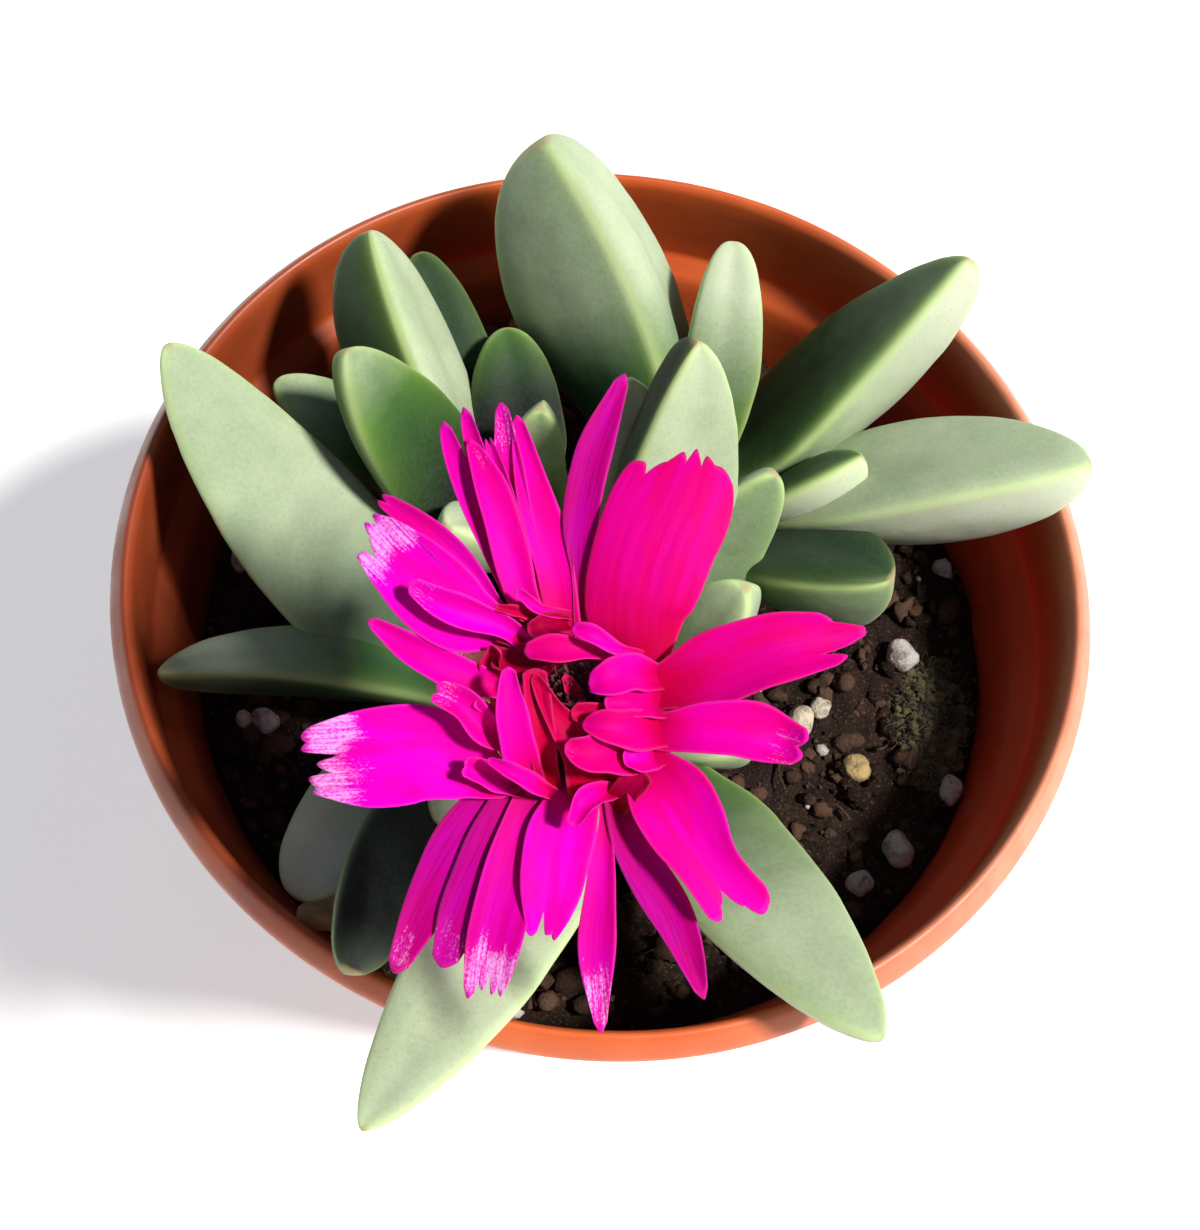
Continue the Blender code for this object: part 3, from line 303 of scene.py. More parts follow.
# Stage
FLOOR_REACH = 8.0  # in metres
SUN_TURN = math.radians(-12)
SUN_HEIGHT = math.radians(56)
SUN_BLUR = math.radians(8)
SUN_STRENGTH = 4.9
SUN_COLOUR = (1.0, 0.97, 0.91)
SKY_STRENGTH = 0.17
SKY_COLOUR = (0.72, 0.88, 1.15, 1.0)


# Meshes


def unit(v):
    return v / np.linalg.norm(v, axis=-1, keepdims=True)


def grid_faces(rows, columns, wrap=False):
    """Quads between the points of a grid, numbered row by row. wrap joins the last column to the first."""
    row = np.arange(rows - 1)[:, None] * columns
    column = np.arange(columns if wrap else columns - 1)[None, :]
    after = (column + 1) % columns
    corners = [row + column, row + after, row + columns + after, row + columns + column]
    return np.stack(corners, -1).reshape(-1, 4)


class Form:
    """Points and faces that become one mesh, with three vectors at each point for the material to read."""

    def __init__(self, name):
        self.name = name
        self.points, self.quads, self.triangles = [], [], []
        self.marks = {"place": [], "look": [], "hue": []}
        self.count = 0

    def add(self, points, quads=(), triangles=(), **marks):
        """Adds points and faces. A mark is one vector for all of them or one for each."""
        points = np.asarray(points, float).reshape(-1, 3)
        self.points.append(points)
        self.quads.append(np.asarray(quads, int).reshape(-1, 4) + self.count)
        self.triangles.append(np.asarray(triangles, int).reshape(-1, 3) + self.count)
        for kind, values in self.marks.items():
            values.append(np.broadcast_to(marks.get(kind, (0, 0, 0)), points.shape))
        self.count += len(points)

    def tube(self, rings, **marks):
        """A closed skin over rings of points, (rows, columns, 3), with a point in the middle of each end."""
        rows, columns, _ = rings.shape

        def with_ends(values):
            return np.concatenate([values.reshape(-1, 3), [values[0].mean(0), values[-1].mean(0)]])

        i = np.arange(columns)
        after = (i + 1) % columns
        last = (rows - 1) * columns
        low = np.stack([np.full(columns, rows * columns), after, i], -1)
        high = np.stack([np.full(columns, rows * columns + 1), last + i, last + after], -1)
        for kind, values in marks.items():
            if np.ndim(values) == 3:
                marks[kind] = with_ends(values)
        self.add(with_ends(rings), grid_faces(rows, columns, True), np.concatenate([low, high]), **marks)

    def mesh(self):
        """The form as a mesh with its faces turned outwards."""
        points = np.concatenate(self.points) * MM
        quads, triangles = np.concatenate(self.quads), np.concatenate(self.triangles)
        made = bpy.data.meshes.new(self.name)
        made.vertices.add(len(points))
        made.vertices.foreach_set("co", points.astype(np.float32).ravel())
        corners = np.concatenate([quads.ravel(), triangles.ravel()]).astype(np.int32)
        made.loops.add(len(corners))
        made.loops.foreach_set("vertex_index", corners)
        starts = [np.arange(len(quads)) * 4, len(quads) * 4 + np.arange(len(triangles)) * 3]
        made.polygons.add(len(quads) + len(triangles))
        made.polygons.foreach_set("loop_start", np.concatenate(starts).astype(np.int32))
        for kind, values in self.marks.items():
            marks = made.attributes.new(kind, "FLOAT_VECTOR", "POINT")
            marks.data.foreach_set("vector", np.concatenate(values).astype(np.float32).ravel())
        made.update(calc_edges=True)
        made.validate()
        bm = bmesh.new()
        bm.from_mesh(made)
        bmesh.ops.recalc_face_normals(bm, faces=bm.faces)
        bm.to_mesh(made)
        bm.free()
        made.shade_smooth()
        return made


def piece(mesh, material, slot, *nodes):
    """Shows a mesh as a piece of the plant with the mesh's name, in the place of the nodes named."""
    obj = bpy.data.objects.new(mesh.name, mesh)
    bpy.context.scene.collection.objects.link(obj)
    mesh.materials.append(material)
    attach(obj, "root")
    if nodes:
        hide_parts(*nodes)
    return obj


def bent(start, bend, end, t):
    """The place at share t of the curve from start to end that leans towards bend."""
    return start * (1 - t) ** 2 + bend * 2 * t * (1 - t) + end * t * t


def heading(start, bend, end, t):
    """The direction of that curve."""
    return unit((bend - start) * (1 - t) + (end - bend) * t)


def pipe(line, side, other, radius, sides):
    """Rings of points around each point of a line. side and other are the directions across it."""
    turn = np.arange(sides)[:, None] * 2 * math.pi / sides
    return line[:, None] + side * radius * np.cos(turn) + other * radius * np.sin(turn)


def settle(obj, material):
    """Gives an object the mesh that its modifiers make, and returns that mesh."""
    graph = bpy.context.evaluated_depsgraph_get()
    obj.data = bpy.data.meshes.new_from_object(obj.evaluated_get(graph))
    obj.modifiers.clear()
    obj.data.materials.clear()
    obj.data.materials.append(material)
    return obj.data


def uneven(points, scale, seed):
    """Smooth noise from -1 to 1 at each point, with features about scale millimetres across."""
    shift = Vector((seed * 7.3, seed * 3.1, seed * 5.7))
    values = [noise.noise(Vector(point) / scale + shift) for point in points.reshape(-1, 3)]
    return np.array(values).reshape(points.shape[:-1])


# Materials


class Shader:
    """A Principled material and short ways to add nodes to it."""

    def __init__(self, name):
        self.material = bpy.data.materials.new(name)
        self.material.use_nodes = True
        self.tree = self.material.node_tree
        self.surface = self.tree.nodes["Principled BSDF"]
        self.where = self.add("TexCoord").outputs["Object"]
        self.colour = None

    def add(self, kind, inputs=None, **settings):
        node = self.tree.nodes.new("ShaderNode" + kind)
        for key, value in settings.items():
            setattr(node, key, value)
        for key, value in (inputs or {}).items():
            self.put(node.inputs[key], value)
        return node

    def put(self, socket, value):
        if isinstance(value, bpy.types.NodeSocket):
            self.tree.links.new(value, socket)
        elif socket.type == "RGBA" and len(value) == 3:
            socket.default_value = (*value, 1.0)
        else:
            socket.default_value = value

    def set(self, **values):
        """Values of the surface. An underscore in a name stands for a space."""
        for key, value in values.items():
            self.put(self.surface.inputs[key.replace("_", " ")], value)

    def noise(self, scale, detail=3.0, rough=0.5, where=None):
        inputs = {"Scale": scale, "Detail": detail, "Roughness": rough, "Vector": where or self.where}
        return self.add("TexNoise", inputs).outputs["Fac"]

    def cells(self, scale):
        return self.add("TexVoronoi", {"Scale": scale, "Vector": self.where}).outputs["Distance"]

    def span(self, value, low, high, to_low=0.0, to_high=1.0, smooth=True):
        """value between low and high, spread from to_low to to_high and held there outside."""
        inputs = {"Value": value, "From Min": low, "From Max": high, "To Min": to_low, "To Max": to_high}
        kind = "SMOOTHSTEP" if smooth else "LINEAR"
        return self.add("MapRange", inputs, interpolation_type=kind).outputs["Result"]

    def calc(self, operation, a, b):
        return self.add("Math", {0: a, 1: b}, operation=operation).outputs["Value"]

    def times(self, a, b):
        return self.calc("MULTIPLY", a, b)

    def plus(self, a, b):
        return self.calc("ADD", a, b)

    def mix(self, share, a, b):
        return self.add("Mix", {0: share, 6: a, 7: b}, data_type="RGBA").outputs[2]

    def paint(self, share, over):
        """Lays a colour over what is painted so far."""
        self.colour = self.mix(share, self.colour, over)

    def parts(self, vector):
        return self.add("SeparateXYZ", {"Vector": vector}).outputs

    def marks(self, name):
        """The three numbers of an attribute."""
        return self.parts(self.add("Attribute", attribute_name=name).outputs["Vector"])

    def stretched(self, x, y, z):
        """The object's own coordinates, each scaled."""
        return self.add("VectorMath", {0: self.where, 1: (x, y, z)}, operation="MULTIPLY").outputs["Vector"]

    def bumps(self, *layers):
        """Layers of bumps, each as its height, its depth in millimetres and its strength."""
        under = {}
        for height, depth, strength in layers:
            inputs = {"Height": height, "Distance": depth * MM, "Strength": strength, **under}
            under = {"Normal": self.add("Bump", inputs).outputs["Normal"]}
        self.set(**under)


def plastic_material():
    s = Shader("terracotta_plastic")
    side, _, height = s.parts(s.where)
    mottle = s.noise(45, 4, 0.6)
    grain = s.noise(1700, 3, 0.6)
    s.colour = s.mix(s.span(mottle, 0.35, 0.65), (0.58, 0.098, 0.022), (0.68, 0.135, 0.034))
    # Splashes of soil on the inner wall, just above the soil
    inside = s.marks("look")[0]
    ragged = s.plus(height, s.times(s.noise(130, 5, 0.7), -0.016))
    splash = s.times(s.span(ragged, 0.052, 0.068, 1.0, 0.0), s.span(s.noise(420, 4, 0.65), 0.50, 0.60))
    s.paint(s.times(splash, inside), (0.10, 0.035, 0.018))
    # Scuffs outside, and a little dust that has settled near the foot
    scuffs = s.span(s.noise(90, 6, 0.75), 0.56, 0.72, 0.0, 0.30)
    s.paint(s.times(scuffs, s.calc("SUBTRACT", 1.0, inside)), (0.74, 0.30, 0.16))
    s.paint(s.span(ragged, -0.010, 0.012, 0.35, 0.0), (0.52, 0.26, 0.15))
    # Painted shade: the left side of the pot is painted darker
    painted_shade_left = s.span(s.plus(side, s.times(mottle, 0.02)), -0.042, 0.008, 0.72, 0.0)
    s.paint(painted_shade_left, (0.16, 0.024, 0.010))
    # Painted shade: inside, the right wall lies in its own shade, and is painted a deeper red there
    deep = s.times(s.span(side, 0.010, 0.042, 0.0, 0.65), s.span(height, 0.080, 0.087, 1.0, 0.0))
    s.paint(s.times(deep, inside), (0.62, 0.040, 0.024))
    # Pale dust on the right of the lip, which is also a painted highlight on its lit side
    dust_and_highlight = s.times(s.span(height, 0.084, 0.089), s.span(side, 0.010, 0.050))
    dust_and_highlight = s.times(dust_and_highlight, s.span(s.noise(260, 4, 0.6), 0.2, 0.8, 0.30, 0.50))
    s.paint(dust_and_highlight, (0.86, 0.48, 0.34))
    s.set(Base_Color=s.colour, IOR=1.48, Subsurface_Weight=0.12, Subsurface_Scale=0.0015)
    s.set(Subsurface_Radius=(1.0, 0.25, 0.08))
    s.set(Roughness=s.span(s.noise(170, 4, 0.6), 0.3, 0.7, 0.34, 0.50))
    ripple = s.noise(28, 2, 0.4)
    scratches = s.noise(260, 5, 0.7, s.stretched(1.0, 1.0, 9.0))
    s.bumps((ripple, 0.5, 0.25), (scratches, 0.03, 0.5), (grain, 0.02, 0.6))
    return s.material


def leaf_material():
    s = Shader("leaf_green")
    # Nearness to a margin or the keel, share of the length, and the leaf's own tone from teal to green
    edge, along, tone = s.marks("place")
    dark, glow, _ = s.marks("look")
    broad = s.noise(70, 3, 0.55)
    cloud = s.noise(330, 4, 0.6)
    powder = s.noise(1900, 3, 0.65)
    # Bare leaf under a powder of pale wax; the wax gives way to the bare green as the leaf's darkness rises,
    # which is partly its own tone and partly painted shade
    bare = s.mix(tone, (0.020, 0.080, 0.038), (0.032, 0.105, 0.016))
    wax = s.mix(s.span(broad, 0.30, 0.70), (0.38, 0.47, 0.29), (0.47, 0.55, 0.37))
    darkness_with_shade = s.plus(dark, s.times(s.calc("SUBTRACT", cloud, 0.5), 0.30))
    bare_and_shade_share = s.span(darkness_with_shade, 0.0, 1.0, smooth=False)
    s.colour = s.mix(bare_and_shade_share, wax, bare)
    # Painted shade: almost black where the darkness goes above 1
    s.paint(s.span(darkness_with_shade, 1.0, 2.0, smooth=False), (0.006, 0.010, 0.008))
    # Painted light: almost white wax where the darkness is below 0
    s.paint(s.span(darkness_with_shade, -1.0, 0.0, 1.0, 0.0, smooth=False), (0.74, 0.77, 0.60))
    grain = s.times(s.span(powder, 0.35, 0.65), s.span(bare_and_shade_share, 0.0, 1.0, 0.16, 0.015))
    s.paint(grain, (0.62, 0.70, 0.52))
    pores = s.span(s.cells(1500), 0.10, 0.24, 1.0, 0.0)
    s.paint(s.times(pores, s.span(bare_and_shade_share, 0.0, 1.0, 0.20, 0.03)), (0.10, 0.22, 0.07))
    # Light that has come through the thin margin
    s.paint(s.times(glow, 0.7), (0.20, 0.36, 0.025))
    # Painted light: pale lines along the margins and keel, fainter on darker leaves
    s.paint(s.times(edge, s.span(dark, 0.8, 1.8, 0.60, 0.10)), (0.64, 0.78, 0.36))
    s.paint(s.span(along, 0.988, 1.0, 0.0, 0.7), (0.42, 0.30, 0.16))
    s.set(Base_Color=s.colour, IOR=1.42, Subsurface_Weight=0.30, Subsurface_Scale=0.0020)
    s.set(Subsurface_Radius=(0.35, 0.9, 0.16), Sheen_Weight=0.04, Sheen_Roughness=0.6)
    s.set(Roughness=s.span(powder, 0.3, 0.7, 0.52, 0.70), Specular_IOR_Level=0.24)
    s.bumps((cloud, 0.16, 0.5), (pores, 0.03, -0.5), (powder, 0.03, 0.7))
    return s.material


def petal_material():
    s = Shader("petal_magenta")
    # Millimetres across and along the petal, and a random number that gives it its own streaks
    across, along, chance = s.marks("place")
    # Share of its length, nearness to its rim, and how much painted sheen lies on its end
    share, edge, shine = s.marks("look")
    light, violet, pale = s.marks("hue")

    def streaks(detail, rough, *scales):
        ends = {"X": s.times(across, scales[0]), "Y": s.times(along, scales[1]), "Z": chance}
        return s.noise(1.0, detail, rough, s.add("CombineXYZ", ends).outputs["Vector"])

    fine, broad, speck = streaks(4, 0.6, 4.5, 0.2), streaks(2, 0.5, 0.7, 0.14), streaks(3, 0.7, 6.5, 3.5)
    # Deep red at the foot, and fine dark lines along the petal. Each petal's brightness is partly painted
    # shade
    strength = s.times(light, s.span(share, 0.0, 0.40, 0.62, 1.0))
    lined = s.times(s.span(fine, 0.42, 0.75), s.span(light, 0.45, 0.75, 0.32, 0.10))
    strength = s.times(strength, s.calc("SUBTRACT", 1.0, lined))
    blue = s.times(violet, s.span(share, 0.05, 0.45, 0.40, 1.0))
    blue = s.times(blue, s.span(broad, 0.34, 0.66, 0.78, 1.20))
    blue = s.times(strength, blue)
    s.colour = s.add("CombineColor", {"Red": strength, "Green": 0.0, "Blue": blue}).outputs["Color"]
    s.paint(s.times(pale, s.span(share, 0.04, 0.17, 0.9, 0.0)), (0.95, 0.34, 0.24))
    # Painted sheen: a white highlight on the papery end, broken up into specks where it fades
    patch = s.times(s.span(s.plus(share, s.times(broad, 0.34)), 0.84, 1.04), shine)
    patch = s.times(patch, s.span(share, 0.94, 1.0, 1.0, 0.65))
    patch = s.plus(s.times(patch, 0.62), s.times(fine, 0.75))
    sheen = s.span(s.plus(patch, s.times(speck, 0.7)), 1.06, 1.44)
    s.paint(sheen, (0.88, 0.42, 0.86))
    # Painted highlight: a thin pale line along each petal's rim
    s.paint(s.times(edge, 0.14), (0.95, 0.14, 0.50))
    s.set(Base_Color=s.colour, IOR=1.4, Subsurface_Weight=0.10, Subsurface_Scale=0.0008)
    s.set(Subsurface_Radius=(1.0, 0.02, 0.30), Specular_IOR_Level=0.04)
    s.set(Roughness=s.span(sheen, 0.0, 1.0, 0.55, 0.40))
    s.bumps((fine, 0.04, 0.6), (speck, 0.02, 0.5))
    return s.material


def soil_material(name, dark, brown):
    s = Shader(name)
    tone = s.marks("place")[2]
    lumps = s.noise(420, 6, 0.7)
    fine = s.noise(2600, 4, 0.7)
    shade = s.plus(s.times(lumps, 0.6), s.times(tone, 0.5))
    s.colour = s.mix(s.span(shade, 0.35, 0.80), dark, brown)
    s.paint(s.span(fine, 0.54, 0.70, 0.0, 0.75), (0.15, 0.095, 0.06))
    s.set(Base_Color=s.colour, Roughness=s.span(lumps, 0.3, 0.7, 0.65, 0.95), Specular_IOR_Level=0.12)
    s.bumps((lumps, 0.8, 0.7), (fine, 0.30, 1.0))
    return s.material


def grit_material():
    s = Shader("pale_grit")
    tone = s.marks("place")[2]
    s.colour = s.mix(s.span(tone, 0.0, 0.25, smooth=False), (0.56, 0.54, 0.55), (0.44, 0.41, 0.42))
    s.paint(s.span(tone, 0.25, 0.6, smooth=False), (0.60, 0.53, 0.40))
    s.paint(s.span(tone, 0.6, 1.0, smooth=False), (0.42, 0.28, 0.10))
    stain = s.noise(600, 5, 0.7)
    s.paint(s.span(stain, 0.46, 0.66, 0.0, 0.75), (0.10, 0.07, 0.045))
    s.set(Base_Color=s.colour, Roughness=0.85, Subsurface_Weight=0.1, Subsurface_Scale=0.001)
    s.bumps((stain, 0.25, 0.6), (s.cells(2200), 0.12, 0.8))
    return s.material


def moss_material():
    s = Shader("moss")
    tone = s.marks("place")[2]
    patchy = s.noise(300, 4, 0.6)
    shade = s.plus(s.times(patchy, 0.5), s.times(tone, 0.5))
    s.colour = s.mix(s.span(shade, 0.2, 0.8), (0.026, 0.022, 0.010), (0.13, 0.105, 0.042))
    s.set(Base_Color=s.colour, Roughness=0.9, Sheen_Weight=0.2)
    s.bumps((s.noise(3000, 3, 0.6), 0.06, 0.8))
    return s.material


def bark_material():
    s = Shader("crown_bark")
    rings = s.noise(240, 5, 0.65, s.stretched(1.0, 1.0, 3.5))
    fine = s.noise(1500, 4, 0.65)
    s.colour = s.mix(s.span(rings, 0.32, 0.68), (0.11, 0.075, 0.045), (0.36, 0.27, 0.17))
    s.paint(s.span(fine, 0.50, 0.75, 0.0, 0.5), (0.50, 0.42, 0.28))
    s.set(Base_Color=s.colour, Roughness=s.span(fine, 0.3, 0.7, 0.75, 0.95), Specular_IOR_Level=0.3)
    s.bumps((rings, 0.5, 0.8), (fine, 0.10, 0.8))
    return s.material


def stalk_material():
    s = Shader("stalk_green")
    share = s.marks("look")[0]
    streak = s.noise(300, 4, 0.6, s.stretched(3.0, 1.0, 0.6))
    fine = s.noise(1800, 3, 0.6)
    beads = s.span(s.cells(1300), 0.12, 0.34, 1.0, 0.0)
    s.colour = s.mix(s.span(streak, 0.3, 0.7), (0.36, 0.46, 0.20), (0.58, 0.64, 0.36))
    s.paint(s.span(share, 0.50, 0.95, 0.0, 0.85), (0.94, 0.86, 0.56))
    s.paint(s.times(beads, 0.25), (0.74, 0.80, 0.55))
    s.set(Base_Color=s.colour, Subsurface_Weight=0.3, Subsurface_Scale=0.0015, IOR=1.42)
    s.set(Subsurface_Radius=(0.6, 0.8, 0.2), Roughness=s.span(fine, 0.3, 0.7, 0.40, 0.60))
    s.bumps((streak, 0.12, 0.6), (beads, 0.07, 0.7))
    return s.material


def stamen_material():
    s = Shader("stamen_red")
    share = s.marks("look")[0]
    fine = s.noise(2500, 3, 0.6)
    s.colour = s.mix(s.span(share, 0.2, 1.0), (0.030, 0.002, 0.004), (0.17, 0.008, 0.012))
    s.paint(s.span(fine, 0.5, 0.7, 0.0, 0.5), (0.10, 0.012, 0.008))
    s.set(Base_Color=s.colour, Roughness=s.span(fine, 0.3, 0.7, 0.55, 0.8), Sheen_Weight=0.15)
    s.bumps((fine, 0.05, 0.8))
    return s.material


def straw_material():
    s = Shader("dry_straw")
    streak = s.noise(500, 5, 0.65, s.stretched(1.0, 1.0, 0.3))
    fine = s.noise(2200, 4, 0.6)
    # Pale straw, partly its own colour and partly painted light, made lighter because the dry leaf lies in
    # shade
    s.colour = s.mix(s.span(streak, 0.3, 0.7), (0.80, 0.60, 0.32), (0.97, 0.86, 0.60))
    s.paint(s.span(fine, 0.60, 0.80, 0.0, 0.4), (0.50, 0.32, 0.14))
    s.set(Base_Color=s.colour, Roughness=0.85, Subsurface_Weight=0.1, Subsurface_Scale=0.0008)
    s.bumps((streak, 0.25, 0.9), (fine, 0.05, 0.8))
    return s.material


# Pot


def inner_wall(height):
    """The inner radius of the pot at a height below its collar."""
    share = height / (POT_HEIGHT - COLLAR_DEPTH)
    return FOOT_RADIUS + (SHOULDER_RADIUS - FOOT_RADIUS) * share - WALL


def rounded(profile, steps=5):
    """The profile with each corner that has a radius turned into a small curve. Points are (r, z, radius)."""
    made = []
    for i, (r, z, radius) in enumerate(profile):
        if radius == 0:
            made.append((r, z))
            continue
        here = np.array([r, z])
        back, on = (np.array(profile[k][:2]) - here for k in (i - 1, i + 1))
        start = here + back * min(0.45, radius / np.linalg.norm(back))
        end = here + on * min(0.45, radius / np.linalg.norm(on))
        made += [tuple(bent(start, here, end, t)) for t in np.linspace(0, 1, steps)]
    return made


def subdivided(profile, longest):
    made = [profile[0]]
    for a, b in zip(profile, profile[1:]):
        parts = max(1, math.ceil(math.dist(a, b) / longest))
        for k in range(1, parts + 1):
            made.append((a[0] + (b[0] - a[0]) * k / parts, a[1] + (b[1] - a[1]) * k / parts))
    return made


def turned(profile, sides):
    """Rings of points turned about Z, from a profile whose ends are on the axis."""
    turn = np.arange(sides) * 2 * math.pi / sides
    return np.array([
        np.stack([r * np.cos(turn), r * np.sin(turn), np.full(sides, z)], -1) for r, z in profile if r > 0
    ])


def pot_profile():
    """The pot's outline as (r, z, radius), up the outside from the middle of its foot and down the inside."""
    shoulder = POT_HEIGHT - COLLAR_DEPTH
    lip_inside = RIM_RADIUS - LIP
    collar = RIM_RADIUS - LIP_OVERHANG
    return [
        (0.01, 0, 0),
        (BOSS_RADIUS, 0, 0.5),
        (BOSS_RADIUS + 1, RECESS, 0.5),
        (FOOT_RADIUS - FOOT_WIDTH - 1, RECESS, 0.5),
        (FOOT_RADIUS - FOOT_WIDTH, 0, 0.5),
        (FOOT_RADIUS, 0, 0.9),
        (SHOULDER_RADIUS, shoulder - 0.9, 0.4),
        (collar - COLLAR_TAPER, shoulder + 0.4, 0.6),
        (collar, POT_HEIGHT - 4.0, 0.4),
        (RIM_RADIUS, POT_HEIGHT - 3.3, 0.5),
        (RIM_RADIUS - 0.1, POT_HEIGHT - 2.2, 0.9),
        (lip_inside + 0.7, POT_HEIGHT + 0.1, 1.0),
        (lip_inside - 0.1, POT_HEIGHT - 0.7, 0.7),
        (lip_inside - 0.3, POT_HEIGHT - 2.6, 0.6),
        (lip_inside - 0.6, shoulder + 1.7, 0.5),
        (inner_wall(shoulder) + 0.2, shoulder - 0.3, 0.7),
        (inner_wall(shoulder) - 0.35, shoulder - 2.0, 0.6),
        (inner_wall(FLOOR_TOP) - 0.4, FLOOR_TOP, 0.6),
        (0.01, FLOOR_TOP, 0),
    ]


def make_drain_cutter():
    """The drain holes as one object of solid pegs."""
    form = Form("drain_holes")
    for i in range(DRAIN_HOLES):
        angle = 2 * math.pi * i / DRAIN_HOLES
        peg = turned([(DRAIN_RADIUS, -2.0), (DRAIN_RADIUS, 6.0)], 32)
        form.tube(peg + (DRAIN_CIRCLE * math.cos(angle), DRAIN_CIRCLE * math.sin(angle), 0))
    cutter = bpy.data.objects.new("drain_holes", form.mesh())
    bpy.context.scene.collection.objects.link(cutter)
    return cutter


def make_pot(material):
    rings = turned(subdivided(rounded(pot_profile()), 3.0), POT_SIDES)
    # A thin pot is never quite round: its mouth is squeezed a little, and leans back
    turn = np.arctan2(rings[..., 1], rings[..., 0])
    high = np.clip(rings[..., 2] / POT_HEIGHT, 0, 1) ** 2
    wobble = 1 + high * (0.0035 * np.cos(2 * turn + 0.6) + 0.0012 * np.cos(5 * turn))
    rings[..., :2] *= wobble[..., None]
    rings[..., 1] += MOUTH_LEAN * high
    # The look is 1 from the top of the lip inwards
    look = np.zeros(rings.shape)
    look[rings[:, 0, 2].argmax():] = 1
    form = Form("pot_shell")
    form.tube(rings, look=look)
    obj = piece(form.mesh(), material, "pot_plastic", "pot")
    cutter = make_drain_cutter()
    cut = obj.modifiers.new("drain", "BOOLEAN")
    cut.operation, cut.object, cut.solver = "DIFFERENCE", cutter, "EXACT"
    settle(obj, material).set_sharp_from_angle(angle=SHARP_ANGLE)
    bpy.data.objects.remove(cutter)


# Soil

SOIL_EDGE = inner_wall(SOIL_TOP) - CLEAR - 0.25


def soil_waves(x, y):
    """The height of the soil, which lies in low waves."""
    return SOIL_TOP + 0.5 * np.sin(0.21 * x + 1.0) * np.cos(0.17 * y) + 0.35 * np.sin(0.47 * x - 0.39 * y)


def ball_points(level):
    bm = bmesh.new()
    bmesh.ops.create_icosphere(bm, subdivisions=level, radius=1.0)
    points = np.array([v.co for v in bm.verts])
    faces = np.array([[v.index for v in f.verts] for f in bm.faces])
    bm.free()
    return points, faces


def add_lumps(form, places, level, draw, rough=0.22, flat=0.8):
    """Irregular stones or crumbs at each (x, y, z, radius, tone)."""
    points, faces = ball_points(level)
    for x, y, z, radius, tone in places:
        waves = draw.normal(0, 2.2, (5, 3))
        phase = draw.uniform(0, 2 * math.pi, 5)
        swell = 1 + rough * np.sin(points @ waves.T + phase).mean(1) * 2
        turn, _ = np.linalg.qr(draw.normal(size=(3, 3)))
        lump = (points * swell[:, None] * draw.uniform(0.75, 1.15, 3)) @ turn * radius
        lump[:, 2] *= flat
        form.add(lump + (x, y, z), triangles=faces, place=(0, 0, tone))


def fibre(form, start, end, radius, tone):
    """A thin bent thread from start to end."""
    start, end = np.array(start), np.array(end)
    along = unit(end - start)
    side = unit(np.cross(along, (0.3, 0.5, 0.81)))
    sag = side * 0.12 * np.linalg.norm(end - start)
    t = np.array([0.0, 0.3, 0.65, 1.0])[:, None]
    line = start + (end - start) * t + sag * np.sin(math.pi * t)
    thick = radius * (1.0 - 0.5 * t[..., None])
    form.tube(pipe(line, side, np.cross(along, side), thick, 5), place=(0, 0, tone))


def make_bed(material):
    low = FLOOR_TOP + CLEAR
    sides, rings = 220, 100
    turn = np.arange(sides) * 2 * math.pi / sides
    circle = np.stack([np.cos(turn), np.sin(turn)], -1)
    walls = [(inner_wall(low) - CLEAR - 1.4, low)]
    for z in (low + 1.4, *range(30, int(SOIL_TOP) - 2, 12)):
        walls.append((inner_wall(z) - CLEAR - 0.25, z))
    skin = [np.concatenate([circle * radius, np.full((sides, 1), z)], 1) for radius, z in walls]
    for k in range(rings):
        share = (1 - k / rings) ** 0.9
        flat = circle * SOIL_EDGE * share
        at = np.stack([flat[:, 0], flat[:, 1], np.zeros(sides)], -1)
        z = soil_waves(flat[:, 0], flat[:, 1])
        z += 0.9 * uneven(at, 3.6, 1) + 0.55 * uneven(at, 1.5, 2) + 0.3 * uneven(at, 0.7, 3)
        z -= 1.2 * max(0.0, share - 0.94) / 0.06
        skin.append(np.concatenate([flat, z[:, None]], 1))
    form = Form("soil_bed")
    form.tube(np.array(skin), place=(0, 0, 0.4))
    piece(form.mesh(), material, "potting_soil", "soil")


def scattered(draw, count, low_radius, high_radius, power):
    """Places for lumps all over the soil, apart from where the root stands."""
    for _ in range(count):
        radius = low_radius + (high_radius - low_radius) * draw.uniform() ** power
        reach = (SOIL_EDGE - radius - 0.3) * math.sqrt(draw.uniform())
        angle = draw.uniform(0, 2 * math.pi)
        x, y = reach * math.cos(angle), reach * math.sin(angle)
        if math.hypot(x - HUB[0], y - HUB[1]) < ROOT_RADIUS + radius + 0.4:
            continue
        yield x, y, float(soil_waves(x, y)) + radius * draw.uniform(0.0, 0.5), radius, draw.uniform()


def make_crumbs(draw, material):
    form = Form("soil_crumbs")
    add_lumps(form, scattered(draw, CRUMBS, 0.25, 1.5, 3.0), 2, draw, 0.45, 0.65)
    piece(form.mesh(), material, "potting_soil")


def make_grit(draw, material):
    form = Form("soil_grit")
    chosen = [(x, y, float(soil_waves(x, y)) + 0.45 * r, r, tone) for x, y, r, tone in GRAINS]
    add_lumps(form, chosen, 3, draw, 0.16, 0.85)
    small = [(x, y, z, r, 0.75 * tone) for x, y, z, r, tone in scattered(draw, 60, 0.4, 1.4, 2.0)]
    add_lumps(form, small, 2, draw, 0.2, 0.85)
    piece(form.mesh(), material, "potting_soil")


